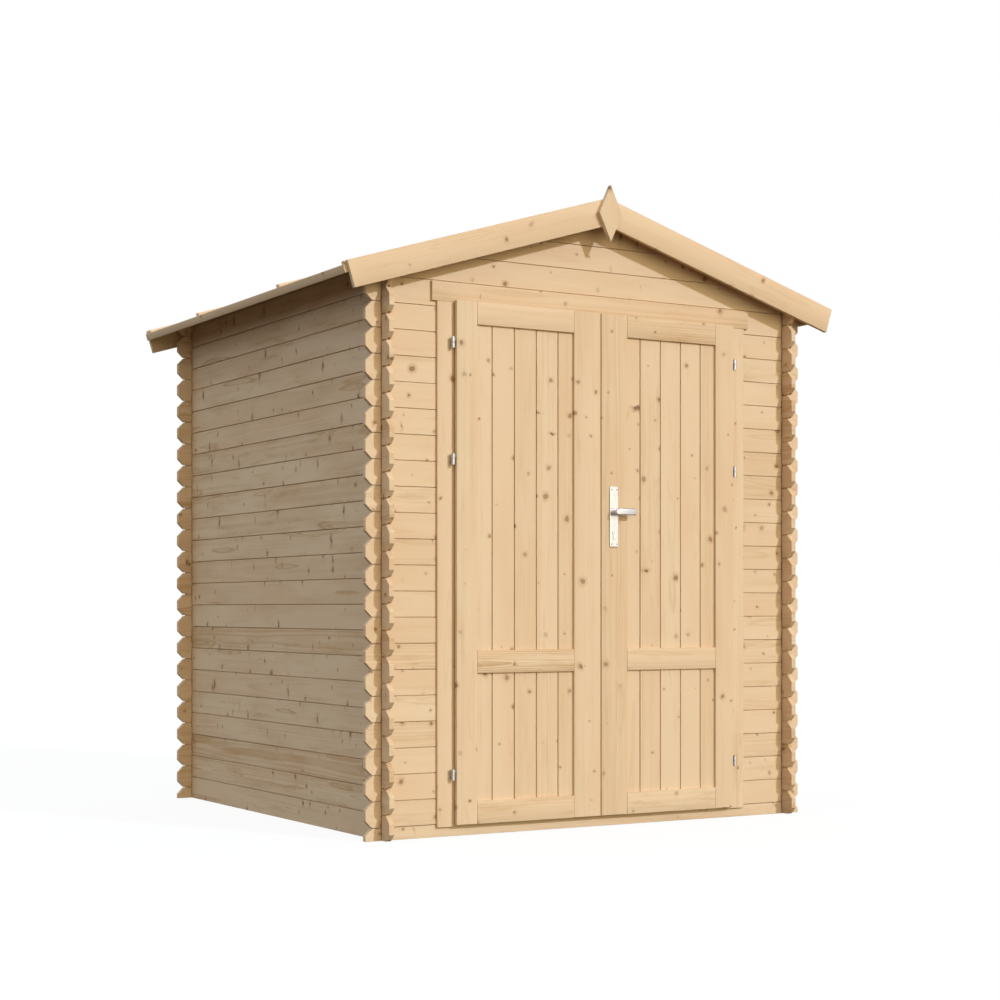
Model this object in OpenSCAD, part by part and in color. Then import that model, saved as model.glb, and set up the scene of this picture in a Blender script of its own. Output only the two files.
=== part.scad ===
// Wooden garden shed with a double door, built from interlocking tongue-and-groove wall boards.
// Millimetres. Origin on the ground at the centre of the shed, +Z up, the door faces -Y.

/* [Walls] */
// Width between the outer faces of the two side walls
wall_w = 1760; // [1600:10:2400]
// Depth between the outer faces of the front and back walls
wall_d = 1764; // [1400:10:2600]
// Thickness of a wall board
board_t = 19; // [16:1:28]
// Cover height of one wall board
board_h = 90; // [84:1:110]
// Number of board courses in a side wall
side_courses = 22; // [22:1:26]
// How far the board ends stand out past the crossing wall
end_over = 60; // [40:1:90]
// Bevel at the corners of a board end
end_bevel = 25; // [10:1:28]
// Small bevel along the edges of every board
edge_bevel = 1.5; // [0.5:0.1:3]
// Thickness of the tongue along a board
tongue_w = 6; // [4:0.5:7]
// Height of the tongue along a board
tongue_h = 6; // [4:0.5:8]

/* [Roof] */
// Slope of the roof in degrees
roof_pitch = 17; // [12:1:30]
// Thickness of the roof boards
roof_t = 16; // [12:1:25]
// Roof boards on each slope, counted along the ridge
roof_boards = 21; // [14:1:30]
// Length of the roof past the side wall, along the slope
eave_over = 162; // [80:1:260]
// Thickness of the strip along the eave
eave_strip_t = 16; // [10:1:25]
// Depth of the strip along the eave
eave_strip_h = 28; // [20:1:60]
// Thickness of the roof battens
batten_t = 12; // [8:1:20]
// Width of the roof battens
batten_w = 24; // [18:1:40]
// Distance from an end batten to the next one
batten_step = 537; // [300:1:600]
// Free space between an end batten and the barge board
batten_inset = 8; // [2:1:20]
// Width of a barge board
barge_h = 95; // [70:1:140]
// Thickness of a barge board
barge_t = 16; // [12:1:25]
// Length of a barge board past the end of the roof boards
barge_past = 4; // [0:1:12]
// Height of the diamond at the gable top
finial_h = 205; // [140:1:260]
// Width of the diamond at the gable top
finial_w = 99; // [60:1:140]
// Thickness of the diamond at the gable top
finial_t = 18; // [12:1:25]
// Height of the diamond's middle below the top of the barge boards
finial_drop = 59.5; // [20:0.5:80]
// Width of the ridge purlin
purlin_w = 45; // [30:1:70]
// Height of the ridge purlin
purlin_h = 95; // [60:1:140]

/* [Doorway] */
// Clear width between the door posts
open_w = 1160; // [900:2:1300]
// Height of the doorway in board courses above the bottom half board
door_courses = 20; // [19:1:20]
// Width of a door post's cover flange
jamb_w = 87; // [75:1:110]
// Thickness of the cover flanges and of the header board
trim_t = 10; // [8:1:16]
// Depth of the groove in a door post that takes the wall boards
jamb_groove = 27; // [15:1:35]
// How far a cover flange laps down over the bottom half board
jamb_lap = 12; // [6:1:30]
// Height of the header board
header_h = 72; // [50:1:74]
// How far the header board runs past the door posts
header_over = 21; // [0:1:60]
// How far the header's lower edge lies above the doorway
header_rise = 17.5; // [8:0.5:17.5]

/* [Door leaves] */
// Thickness of the stiles and rails
leaf_frame_t = 16; // [14:0.5:25]
// How far the stiles and rails stand out in front of the upright boards
frame_proud = 10; // [6:0.5:11]
// Thickness of the upright boards
leaf_board_t = 14; // [10:1:18]
// How far the upright boards lap behind the stiles and rails
rebate_w = 20; // [12:1:25]
// Width of the stile on the hinge side
hinge_stile_w = 82.5; // [60:0.5:120]
// Width of the stile at the middle of the doorway
meeting_stile_w = 112.5; // [90:0.5:140]
// Height of a rail
rail_h = 80; // [60:1:120]
// Height of the middle rail's lower edge above the leaf's lower end
mid_rail_z = 528; // [300:1:800]
// Cover width of an upright board
leaf_board_w = 91.5; // [70:0.5:110]
// Cover width of the upright board next to the meeting stile
first_board_w = 85; // [60:0.5:110]
// Bevel along the edges of the upright boards
leaf_bevel = 2.5; // [1:0.1:3]
// How far a leaf laps over its door post
leaf_side_lap = 21.5; // [12:0.5:30]
// Free space between the two leaves
meeting_gap = 6; // [5:0.1:10]
// Free space between a leaf and the fixed pieces behind it
leaf_clear = 5; // [5:0.1:8]
// How far a leaf's lower end laps down over the bottom half board
leaf_lap = 5; // [4:0.5:15]
// How far a leaf's upper end laps up over the header
leaf_header_lap = 5.5; // [4:0.5:20]

/* [Hinges] */
// Height of a hinge barrel
hinge_h = 40; // [30:1:80]
// Radius of a hinge barrel
barrel_r = 6.5; // [5:0.1:7]
// Radius of a hinge pin
pin_r = 3.5; // [2:0.1:4]
// Thickness of the closed top of a hinge barrel
barrel_cap = 4; // [2:0.5:6]
// Radius of a hinge bolt
bolt_r = 3; // [2:0.1:4]
// Depth of a hinge bolt in the leaf
bolt_in_leaf = 40; // [25:1:55]
// Depth of a hinge bolt in the door post
bolt_in_post = 24; // [15:1:28]
// Distance from the leaf's edge to the hinge axis
hinge_off = 11.5; // [9:0.5:16]
// Distance from the leaf's back to the hinge axis
hinge_in = 10; // [6:0.5:12]
// Height of the low hinge's middle above the leaf's lower end
hinge_low = 176; // [100:1:300]
// Depth of the middle hinge's middle below the leaf's upper end
hinge_mid = 554; // [400:1:900]
// Depth of the high hinge's middle below the leaf's upper end
hinge_high = 148; // [100:1:300]

/* [Handle] */
// Width of a handle plate
plate_w = 37; // [30:1:50]
// Height of a handle plate
plate_h = 220; // [160:1:260]
// Thickness of a handle plate
plate_t = 5; // [3:0.5:10]
// Corner radius of a handle plate
plate_corner = 3; // [1:0.5:12]
// Distance from the leaf's edge to the middle of the plate
backset = 51.5; // [40:0.5:60]
// Height of the lever's axis above the leaf's lower end
lever_z = 1106; // [800:1:1300]
// Height of the lever's axis above the middle of the plate
lever_rise = 17.5; // [0:0.5:40]
// Distance from the lever's axis down to the lock cylinder
lock_drop = 76; // [60:1:85]
// Radius of the lever's neck
neck_r = 9; // [7:0.1:10]
// Distance from the plate to the middle of the lever's grip
lever_out = 28; // [24:1:48]
// Height of the lever's grip
grip_h = 25; // [20:1:26]
// Depth of the lever's grip
grip_t = 14; // [10:1:18]
// Rounding along the edges of the lever's grip
grip_round = 5; // [2:0.5:6]
// Length of the lever from its axis to its tip
lever_len = 75; // [70:1:140]
// Side of the square spindle
spindle_w = 8; // [6:0.5:9]
// Radius of the lock cylinder's round part
lock_r = 8.5; // [7:0.1:10]
// Width of the lock cylinder's web
lock_web_w = 10; // [8:0.1:12]
// Depth of the lock cylinder's web below its middle
lock_web_h = 24; // [18:0.5:28]
// How far the lock cylinder stands out past the plates
lock_out = 2; // [1:0.5:6]

/* [Hidden] */
$fn = 48;

// Named clearances
joint_gap = 0.3;        // between two boards of one wall, roof or leaf
lap_gap = 0.2;          // above, below and beside a board in a corner lap
tongue_gap = 0.4;       // around a tongue in its groove
seat_gap = 0.3;         // under the roof, in the post grooves and at the purlin's ends
mitre_gap = 0.2;        // from the ridge plane to each mitred piece
barge_gap = 2;          // from the wall board ends to the barge boards
pin_gap = 0.05;         // round a hinge pin
barrel_gap = 0.3;       // between the two halves of a hinge barrel, and over its pin
bolt_gap = 0.1;         // round a hinge bolt
bore_gap = 0.3;         // round the lever necks, the spindle and the lock cylinder
past = 200;             // how far trimming solids reach past what they trim

// Walls
half_h = board_h / 2;
lap_h = board_h / 4;
side_h = side_courses * board_h;
wall_x = wall_w / 2;
wall_y = wall_d / 2;
board_body_h = board_h - joint_gap;

// Roof
apex_z = side_h + wall_x * tan(roof_pitch);
gable_over = end_over + barge_gap;
roof_y = wall_y + gable_over;
slope_len = wall_x / cos(roof_pitch) + eave_over;
barge_len = slope_len + barge_past;
barge_top_n = roof_t + batten_t;
barge_top_z = apex_z + barge_top_n / cos(roof_pitch);
barge_y = roof_y + barge_t;
batten_end_y = roof_y - batten_inset - batten_w / 2;
purlin_z = apex_z - purlin_h;
purlin_pocket = board_t / 2;
gable_rows = floor((apex_z - half_h) / board_h - 1 / 4) + 1;

// Doorway
open_x = open_w / 2;
lintel_z = half_h + door_courses * board_h;
header_z = lintel_z + header_rise;
short_end_x = open_x + jamb_w - jamb_groove + seat_gap;

// Leaves, as distances from the outer face of the front wall
leaf_back = trim_t + leaf_clear;
leaf_front = leaf_back + leaf_frame_t;
panel_front = leaf_front - frame_proud;
leaf_z = half_h - leaf_lap;
leaf_top = header_z + leaf_header_lap;
leaf_x = open_x + leaf_side_lap;
meeting_x = meeting_gap / 2;

// The panel of upright boards in the rebate of a leaf's frame
panel_x0 = meeting_x + meeting_stile_w - rebate_w + seat_gap;
panel_x1 = leaf_x - hinge_stile_w + rebate_w - seat_gap;
panel_z0 = leaf_z + rail_h - rebate_w + seat_gap;
panel_z1 = leaf_top - rail_h + rebate_w - seat_gap;

// Hinges
hinge_x = leaf_x + hinge_off;
hinge_y = -wall_y - leaf_back - hinge_in;
hinge_z = [leaf_z + hinge_low, leaf_top - hinge_mid, leaf_top - hinge_high];

// Handle
handle_x = meeting_x + backset;
handle_z = leaf_z + lever_z;
plate_z = handle_z - lever_rise;
lock_z = handle_z - lock_drop;
plate_front_y = -wall_y - leaf_front;
plate_back_y = -wall_y - leaf_back;
spindle_bore_r = spindle_w / sqrt(2) + bore_gap;

wall_colour = "burlywood";
roof_colour = "tan";
trim_colour = "wheat";
door_colour = "navajowhite";
steel_colour = "lightsteelblue";
handle_colour = "whitesmoke";

// Profiles and helpers

// A prism of a profile drawn in Y and Z, from x0 to x1
module along_x(x0, x1) {
    translate([x0, 0, 0]) rotate([90, 0, 90]) linear_extrude(x1 - x0) children();
}

// A prism of a profile drawn in X and Z, from y0 to y1
module along_y(y0, y1) {
    translate([0, y1, 0]) rotate([90, 0, 0]) linear_extrude(y1 - y0) children();
}

module block(low, high) {
    translate(low) cube(high - low);
}

// Cross-section of a tongue-and-groove board: thickness across, cover height up, groove at the bottom
module board_profile(t, h, groove = true, tongue = true, bevel = edge_bevel) {
    top = h - joint_gap;
    mid = t / 2;
    half_tongue = tongue ? tongue_w / 2 : 0;
    tip = tongue ? top + tongue_h : top;
    half_groove = groove ? tongue_w / 2 + tongue_gap : 0;
    groove_top = groove ? tongue_h + tongue_gap : 0;
    polygon(concat(
        [[bevel, 0], [0, bevel], [0, top - bevel], [bevel, top]],
        tongue ? [
            [mid - half_tongue, top], [mid - half_tongue, tip],
            [mid + half_tongue, tip], [mid + half_tongue, top]
        ] : [],
        [[t - bevel, top], [t, top - bevel], [t, bevel], [t - bevel, 0]],
        groove ? [
            [mid + half_groove, 0], [mid + half_groove, groove_top],
            [mid - half_groove, groove_top], [mid - half_groove, 0]
        ] : []
    ));
}

// Side view of a board's bevelled end with its corner lap, from the lower edge round to the upper edge.
// The crossing wall lies between lap_in and lap_out, and a bottom board is flat underneath.
function end_outline(lap_in, lap_out, h, bottom = false) =
    let (reach = lap_out + end_over)
    let (low = lap_in - lap_gap)
    let (high = lap_out + lap_gap)
    let (tip = h + tongue_h)
    concat(
        bottom ? [[reach, 0]] : [
            [low, 0], [low, lap_h + lap_gap], [high, lap_h + lap_gap], [high, 0],
            [reach - end_bevel, 0], [reach, end_bevel]
        ],
        [
            [reach, h - joint_gap - end_bevel], [reach - end_bevel, h - joint_gap],
            [reach - end_bevel, tip], [high, tip], [high, h - lap_h - lap_gap], [low, h - lap_h - lap_gap],
            [low, tip]
        ]
    );

function mirrored(points) = [for (i = [len(points) - 1 : -1 : 0]) [-points[i][0], points[i][1]]];

// A board along X, its outer face on y = 0, cut to a side view
module cut_board(outline, h, groove = true, tongue = true, reach = wall_w) {
    intersection() {
        along_x(-reach, reach) board_profile(board_t, h, groove, tongue);
        along_y(-past, past) polygon(outline);
    }
}

// A board with a lap and a bevelled end on both sides
module lapped_board(cross, h = board_h, bottom = false) {
    right = end_outline(cross - board_t, cross, h, bottom);
    cut_board(concat(right, mirrored(right)), h, !bottom, reach = cross + past);
}

// The space under the roof, as an upright prism along Y
module under_roof() {
    foot_x = wall_x + past;
    drop = foot_x * tan(roof_pitch);
    top = apex_z - seat_gap;
    along_y(-roof_y, roof_y)
        polygon([[-foot_x, 0], [foot_x, 0], [foot_x, top - drop], [0, top], [-foot_x, top - drop]]);
}

// A frame that lies on the right-hand slope: X down the slope, Z out of the roof, the ridge at X = 0
module on_slope() {
    intersection() {
        translate([0, 0, apex_z]) rotate([0, roof_pitch, 0]) children();
        block([mitre_gap, -barge_y - past, 0], [wall_w + past, barge_y + past, apex_z + past]);
    }
}

module left_side() {
    mirror([1, 0, 0]) children();
}

module back_side() {
    mirror([0, 1, 0]) children();
}

// Walls

module side_wall() {
    color(wall_colour) {
        for (row = [0 : side_courses - 2])
            translate([wall_x, 0, row * board_h]) rotate([0, 0, 90]) lapped_board(wall_y);
        // The top board has no tongue, and follows the roof
        intersection() {
            translate([wall_x, 0, (side_courses - 1) * board_h]) rotate([0, 0, 90]) top_side_board();
            under_roof();
        }
    }
}

// The top board of a side wall is tall enough to be trimmed to the slope
module top_side_board() {
    tall = board_h + 2 * board_t * tan(roof_pitch);
    low = wall_y - board_t - lap_gap;
    high = wall_y + lap_gap;
    reach = wall_y + end_over;
    right = [
        [low, 0], [low, lap_h + lap_gap], [high, lap_h + lap_gap], [high, 0], [reach - end_bevel, 0],
        [reach, end_bevel], [reach, board_body_h - end_bevel], [reach - end_bevel, board_body_h],
        [high, board_body_h], [high, board_h - lap_h - lap_gap], [low, board_h - lap_h - lap_gap], [low, tall]
    ];
    cut_board(concat(right, mirrored(right)), tall, tongue = false, reach = reach);
}

// One course of the front or back wall, numbered from the half board up
module cross_board(row) {
    translate([0, -wall_y, half_h + row * board_h]) lapped_board(wall_x);
}

// A course of a gable, trimmed by the roof and housed round the ridge purlin
module gable_board(row) {
    z = half_h + row * board_h;
    last = row == gable_rows - 1;
    h = last ? apex_z - z + joint_gap : board_h;
    difference() {
        intersection() {
            translate([0, -wall_y, z]) {
                if (row < side_courses)
                    eave_board();
                else
                    cut_board([[-wall_w, 0], [wall_w, 0], [wall_w, h + tongue_h], [-wall_w, h + tongue_h]], h,
                        tongue = !last);
            }
            under_roof();
        }
        if (z + h + tongue_h > purlin_z)
            block(
                [-purlin_w / 2 - seat_gap, board_t - wall_y - purlin_pocket, purlin_z - seat_gap],
                [purlin_w / 2 + seat_gap, board_t - wall_y + past, apex_z + past]);
    }
}

// The course at the eave laps over the side walls and runs up under the roof
module eave_board() {
    low = wall_x - board_t - lap_gap;
    high = wall_x + lap_gap;
    reach = wall_x + end_over;
    tip = board_h + tongue_h;
    right = [
        [low, 0], [low, lap_h + lap_gap], [high, lap_h + lap_gap], [high, 0],
        [reach - end_bevel, 0], [reach, end_bevel], [reach, tip]
    ];
    cut_board(concat(right, mirrored(right)), board_h, reach = reach);
}

module left_wall() left_side() side_wall();
module right_wall() side_wall();

module bottom_board() {
    translate([0, -wall_y, 0]) lapped_board(wall_x, half_h, bottom = true);
}

module back_wall() {
    color(wall_colour) back_side() {
        bottom_board();
        for (row = [0 : side_courses - 2])
            cross_board(row);
    }
}

module back_gable() {
    color(wall_colour) back_side()
        for (row = [side_courses - 1 : gable_rows - 1])
            gable_board(row);
}

// The short boards beside the doorway run into the groove of the door post
module short_boards() {
    right = end_outline(wall_x - board_t, wall_x, board_h);
    inner = [[short_end_x, board_h + tongue_h], [short_end_x, 0]];
    color(wall_colour)
        for (row = [0 : door_courses - 1])
            translate([0, -wall_y, half_h + row * board_h])
                cut_board(concat(right, inner), board_h, reach = wall_x + past);
}

module front_wall_left() left_side() short_boards();
module front_wall_right() short_boards();

// The bottom half board is the threshold, with its tongue cut away in the doorway
module front_threshold() {
    clear_x = short_end_x - seat_gap;
    color(wall_colour) difference() {
        bottom_board();
        block([-clear_x, -wall_y - past, half_h - joint_gap], [clear_x, past - wall_y, half_h + past]);
    }
}

module front_gable() {
    color(wall_colour) {
        for (row = [door_courses : side_courses - 2])
            cross_board(row);
        for (row = [side_courses - 1 : gable_rows - 1])
            gable_board(row);
    }
}

// Doorway

// A door post: two cover flanges on a core in the wall's thickness, bored for the hinge bolts
module door_post() {
    outer_x = open_x + jamb_w;
    core_x = outer_x - jamb_groove;
    front_y = -wall_y - trim_t;
    groove_front = -wall_y - seat_gap;
    groove_back = board_t - wall_y + seat_gap;
    back_y = board_t - wall_y + trim_t;
    color(trim_colour) difference() {
        union() {
            translate([0, 0, half_h]) linear_extrude(lintel_z - half_h - seat_gap) polygon([
                [open_x, front_y], [outer_x, front_y], [outer_x, groove_front], [core_x, groove_front],
                [core_x, groove_back], [outer_x, groove_back], [outer_x, back_y], [open_x, back_y]
            ]);
            block([open_x, front_y, half_h - jamb_lap], [outer_x, groove_front, header_z - seat_gap]);
        }
        for (z = hinge_z)
            post_bolt(z, bolt_gap);
    }
}

module left_jamb() left_side() door_post();
module right_jamb() door_post();

module door_header() {
    half_w = open_x + jamb_w + header_over;
    color(trim_colour)
        block([-half_w, -wall_y - trim_t, header_z], [half_w, -wall_y, header_z + header_h]);
}

// Roof

module ridge_purlin() {
    end_y = wall_y - board_t + purlin_pocket - seat_gap;
    half_w = purlin_w / 2;
    shoulder = apex_z - seat_gap - half_w * tan(roof_pitch);
    color(roof_colour) along_y(-end_y, end_y)
        polygon([[-half_w, purlin_z], [half_w, purlin_z], [half_w, shoulder], [0, apex_z - seat_gap],
            [-half_w, shoulder]]);
}

// Boards that run from the ridge to the eave
module roof_slope() {
    pitch = 2 * roof_y / roof_boards;
    color(roof_colour)
        for (i = [0 : roof_boards - 1])
            on_slope() translate([0, i * pitch - roof_y, 0])
                along_x(-past, slope_len) roof_board_profile(pitch, i == roof_boards - 1);
}

// A lying board profile: cover width across, thickness up, with the tongue on the far edge
module roof_board_profile(pitch, last) {
    end = pitch - (last ? 0 : joint_gap);
    half_tongue = tongue_w / 2;
    mid = roof_t / 2;
    tip = end + tongue_h;
    groove = tongue_h + tongue_gap;
    half_groove = half_tongue + tongue_gap;
    polygon(concat(
        [[0, edge_bevel], [edge_bevel, 0], [end - edge_bevel, 0], [end, edge_bevel]],
        last ? [] : [[end, mid - half_tongue], [tip, mid - half_tongue], [tip, mid + half_tongue],
            [end, mid + half_tongue]],
        [[end, roof_t - edge_bevel], [end - edge_bevel, roof_t], [edge_bevel, roof_t], [0, roof_t - edge_bevel],
            [0, mid + half_groove], [groove, mid + half_groove], [groove, mid - half_groove],
            [0, mid - half_groove]]
    ));
}

module roof_left() left_side() roof_slope();
module roof_right() roof_slope();

// The strip that closes the board ends along the eave
module eave_strip() {
    color(trim_colour) on_slope()
        block([slope_len, -roof_y, roof_t - eave_strip_h], [slope_len + eave_strip_t, roof_y, roof_t]);
}

module eave_strip_left() left_side() eave_strip();
module eave_strip_right() eave_strip();

module battens() {
    color(trim_colour)
        for (side = [-1, 1])
            for (y = [batten_end_y, batten_end_y - batten_step])
                on_slope() block([-past, side * y - batten_w / 2, roof_t],
                    [barge_len, side * y + batten_w / 2, roof_t + batten_t]);
}

module battens_left() left_side() battens();
module battens_right() battens();

// A barge board along the front of one slope, mitred at the ridge and cut square at the eave
module barge_board() {
    color(trim_colour) on_slope()
        block([-past, -barge_y, barge_top_n - barge_h], [barge_len, -roof_y, barge_top_n]);
}

module barge_front_left() left_side() barge_board();
module barge_front_right() barge_board();
module barge_back_left() left_side() back_side() barge_board();
module barge_back_right() back_side() barge_board();

// The diamond that covers the mitre of the barge boards
module finial() {
    mid_z = barge_top_z - finial_drop;
    color(trim_colour) along_y(-barge_y - finial_t, -barge_y)
        polygon([[0, mid_z - finial_h / 2], [finial_w / 2, mid_z], [0, mid_z + finial_h / 2],
            [-finial_w / 2, mid_z]]);
}

module finial_front() finial();
module finial_back() back_side() finial();

// Door leaves, drawn for the right-hand leaf

// Upright tongue-and-groove boards, counted from the meeting stile to the hinge stile
module leaf_boards() {
    first_edge = panel_x0 + first_board_w;
    rows = ceil((panel_x1 - first_edge) / leaf_board_w);
    color(door_colour) {
        leaf_board(panel_x0, first_edge, false, true);
        for (i = [0 : rows - 1])
            leaf_board(first_edge + i * leaf_board_w, min(panel_x1, first_edge + (i + 1) * leaf_board_w),
                true, i < rows - 1);
    }
}

module leaf_board(x0, x1, groove, tongue) {
    wide = x1 - x0 + (tongue ? 0 : joint_gap);
    translate([x0, leaf_board_t - wall_y - panel_front, panel_z0]) linear_extrude(panel_z1 - panel_z0)
        rotate(-90) board_profile(leaf_board_t, wide, groove, tongue, leaf_bevel);
}

// A stile or rail, rebated at the back for the upright boards
module frame_bar(x0, x1, z0, z1) {
    difference() {
        block([x0, -wall_y - leaf_front, z0], [x1, -wall_y - leaf_back, z1]);
        block([panel_x0 - seat_gap, -wall_y - panel_front, panel_z0 - seat_gap],
            [panel_x1 + seat_gap, past - wall_y, panel_z1 + seat_gap]);
    }
}

module hinge_stile() {
    color(trim_colour) difference() {
        frame_bar(leaf_x - hinge_stile_w, leaf_x, leaf_z, leaf_top);
        for (z = hinge_z)
            leaf_bolt(z, bolt_gap);
    }
}

module meeting_stile(holes) {
    color(trim_colour) difference() {
        frame_bar(meeting_x, meeting_x + meeting_stile_w, leaf_z, leaf_top);
        if (holes)
            handle_holes();
    }
}

module rails() {
    color(trim_colour)
        for (z = [leaf_z, leaf_z + mid_rail_z, leaf_top - rail_h])
            frame_bar(meeting_x + meeting_stile_w, leaf_x - hinge_stile_w, z, z + rail_h);
}

module leaf_boards_left() left_side() leaf_boards();
module hinge_stile_left() left_side() hinge_stile();
module meeting_stile_left() left_side() meeting_stile(false);
module rails_left() left_side() rails();
module leaf_boards_right() leaf_boards();
module hinge_stile_right() hinge_stile();
module meeting_stile_right() meeting_stile(true);
module rails_right() rails();

// Hinges, drawn for the right-hand leaf

// The bolt of the fixed half, or its bore in the door post
module post_bolt(z, grow) {
    end_y = -wall_y - trim_t + bolt_in_post + grow;
    translate([hinge_x, end_y, z - hinge_h / 4]) rotate([90, 0, 0])
        cylinder(r = bolt_r + grow, h = end_y - hinge_y);
}

// The bolt of the moving half, or its bore in the leaf's edge
module leaf_bolt(z, grow) {
    end_x = leaf_x - bolt_in_leaf - grow;
    translate([end_x, hinge_y, z + hinge_h / 4]) rotate([0, 90, 0])
        cylinder(r = bolt_r + grow, h = hinge_x - end_x);
}

// The fixed half: lower barrel with the pin, on a bolt in the door post
module hinge_fixed(z) {
    low = z - hinge_h / 2;
    color(steel_colour) translate([hinge_x, hinge_y, low]) {
        cylinder(r = barrel_r, h = (hinge_h - barrel_gap) / 2);
        cylinder(r = pin_r, h = hinge_h - barrel_cap - barrel_gap);
    }
    color(steel_colour) post_bolt(z, 0);
}

// The moving half: upper barrel that turns on the pin, on a bolt in the leaf's edge
module hinge_moving(z) {
    low = z + barrel_gap / 2;
    high = z + hinge_h / 2;
    color(steel_colour) difference() {
        union() {
            translate([hinge_x, hinge_y, low]) cylinder(r = barrel_r, h = high - low);
            leaf_bolt(z, 0);
        }
        translate([hinge_x, hinge_y, z]) cylinder(r = pin_r + pin_gap, h = high - barrel_cap - z);
    }
}

module hinges_fixed() for (z = hinge_z) hinge_fixed(z);
module hinges_moving() for (z = hinge_z) hinge_moving(z);
module hinges_left_fixed() left_side() hinges_fixed();
module hinges_left_moving() left_side() hinges_moving();
module hinges_right_fixed() hinges_fixed();
module hinges_right_moving() hinges_moving();

// Handle set on the right-hand leaf

// Bores through the leaf for the spindle and the lock cylinder
module handle_holes() {
    translate([handle_x, -wall_y + past, handle_z]) rotate([90, 0, 0])
        cylinder(r = spindle_bore_r, h = 2 * past);
    along_y(-wall_y - past, -wall_y + past) lock_profile(bore_gap);
}

module lock_profile(grow) {
    translate([handle_x, lock_z]) {
        circle(r = lock_r + grow);
        translate([-lock_web_w / 2 - grow, -lock_web_h - grow]) square([lock_web_w + 2 * grow, lock_web_h + grow]);
    }
}

module plate_profile() {
    translate([handle_x, plate_z]) {
        square([plate_w - 2 * plate_corner, plate_h], center = true);
        square([plate_w, plate_h - 2 * plate_corner], center = true);
        for (x = [-1, 1])
            for (z = [-1, 1])
                translate([x * (plate_w / 2 - plate_corner), z * (plate_h / 2 - plate_corner)])
                    circle(r = plate_corner);
    }
}

// A plate whose outer face is at y1, bored for the lever's neck and the lock cylinder
module handle_plate(y0, y1) {
    color(handle_colour) difference() {
        along_y(y0, y1) plate_profile();
        along_y(y0 - past, y1 + past) translate([handle_x, handle_z]) circle(r = neck_r + bore_gap);
        along_y(y0 - past, y1 + past) lock_profile(bore_gap);
    }
}

module handle_plate_outside() handle_plate(plate_front_y - plate_t, plate_front_y);
module handle_plate_inside() handle_plate(plate_back_y, plate_back_y + plate_t);

module lock_cylinder() {
    color(steel_colour)
        along_y(plate_front_y - plate_t - lock_out, plate_back_y + plate_t + lock_out) lock_profile(0);
}

// Cross-section of the lever's grip, depth across and height up
module grip_profile() {
    for (depth = [-1, 1])
        for (height = [-1, 1])
            translate([depth * (grip_t / 2 - grip_round), height * (grip_h / 2 - grip_round)])
                circle(r = grip_round);
    square([grip_t - 2 * grip_round, grip_h], center = true);
    square([grip_t, grip_h - 2 * grip_round], center = true);
}

// A flat bar on a round neck, its end rounded about the lever's axis. Drawn towards -Y from y = 0.
module lever() {
    grip_y = -plate_t - lever_out;
    color(handle_colour) {
        rotate([90, 0, 0]) cylinder(r = neck_r, h = -grip_y);
        translate([0, grip_y, 0]) along_x(0, lever_len) grip_profile();
        translate([0, grip_y, 0]) rotate([90, 0, 0]) rotate_extrude()
            intersection() {
                rotate(90) grip_profile();
                translate([0, -grip_t]) square([grip_h, 2 * grip_t]);
            }
    }
}

module lever_outside() translate([handle_x, plate_front_y, handle_z]) lever();
module lever_inside() translate([handle_x, plate_back_y, handle_z]) back_side() lever();

module lever_spindle() {
    half = spindle_w / 2;
    color(steel_colour)
        block([handle_x - half, plate_front_y, handle_z - half], [handle_x + half, plate_back_y, handle_z + half]);
}

left_wall();
right_wall();
back_wall();
back_gable();
front_wall_left();
front_wall_right();
front_threshold();
front_gable();
left_jamb();
right_jamb();
door_header();
ridge_purlin();
roof_left();
roof_right();
eave_strip_left();
eave_strip_right();
battens_left();
battens_right();
barge_front_left();
barge_front_right();
barge_back_left();
barge_back_right();
finial_front();
finial_back();
leaf_boards_left();
hinge_stile_left();
meeting_stile_left();
rails_left();
leaf_boards_right();
hinge_stile_right();
meeting_stile_right();
rails_right();
hinges_left_fixed();
hinges_left_moving();
hinges_right_fixed();
hinges_right_moving();
handle_plate_outside();
handle_plate_inside();
lock_cylinder();
lever_outside();
lever_inside();
lever_spindle();
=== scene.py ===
# %% [markdown]
# A wooden garden shed, board by board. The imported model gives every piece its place, and this
# lesson dresses it: each wooden piece is carried out again as a real plank, with tongues,
# grooves, bevels and its own run of grain, and each metal piece gets its rounded edges.
# All lengths are metres, in the model's own frame: the door faces -Y and the ground is z = 0.

# %% Load the frame
import math

import bmesh
import bpy
import numpy as np
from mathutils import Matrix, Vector


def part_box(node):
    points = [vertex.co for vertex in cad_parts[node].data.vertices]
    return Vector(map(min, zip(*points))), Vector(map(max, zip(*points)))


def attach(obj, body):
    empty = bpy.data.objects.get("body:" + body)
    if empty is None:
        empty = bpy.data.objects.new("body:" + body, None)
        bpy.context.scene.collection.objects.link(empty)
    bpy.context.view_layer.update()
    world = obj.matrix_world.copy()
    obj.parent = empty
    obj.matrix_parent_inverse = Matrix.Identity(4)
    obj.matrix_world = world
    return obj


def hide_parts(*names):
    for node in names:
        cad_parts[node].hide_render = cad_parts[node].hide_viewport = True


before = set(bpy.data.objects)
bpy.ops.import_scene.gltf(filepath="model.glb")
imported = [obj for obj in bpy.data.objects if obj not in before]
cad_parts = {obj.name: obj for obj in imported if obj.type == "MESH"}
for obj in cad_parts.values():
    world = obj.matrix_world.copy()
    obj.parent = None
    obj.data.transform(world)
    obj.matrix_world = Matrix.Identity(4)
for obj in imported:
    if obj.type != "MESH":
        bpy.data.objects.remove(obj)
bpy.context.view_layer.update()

print("nodes in the frame:", len(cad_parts))

# %% [markdown]
# The camera comes first, because everything else is judged through it. The walls' upright edges
# stay upright in the picture, so the camera looks level, and the lens is shifted up instead of
# the camera being tilted. The focal length and the place were fitted to the wall corners.

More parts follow.
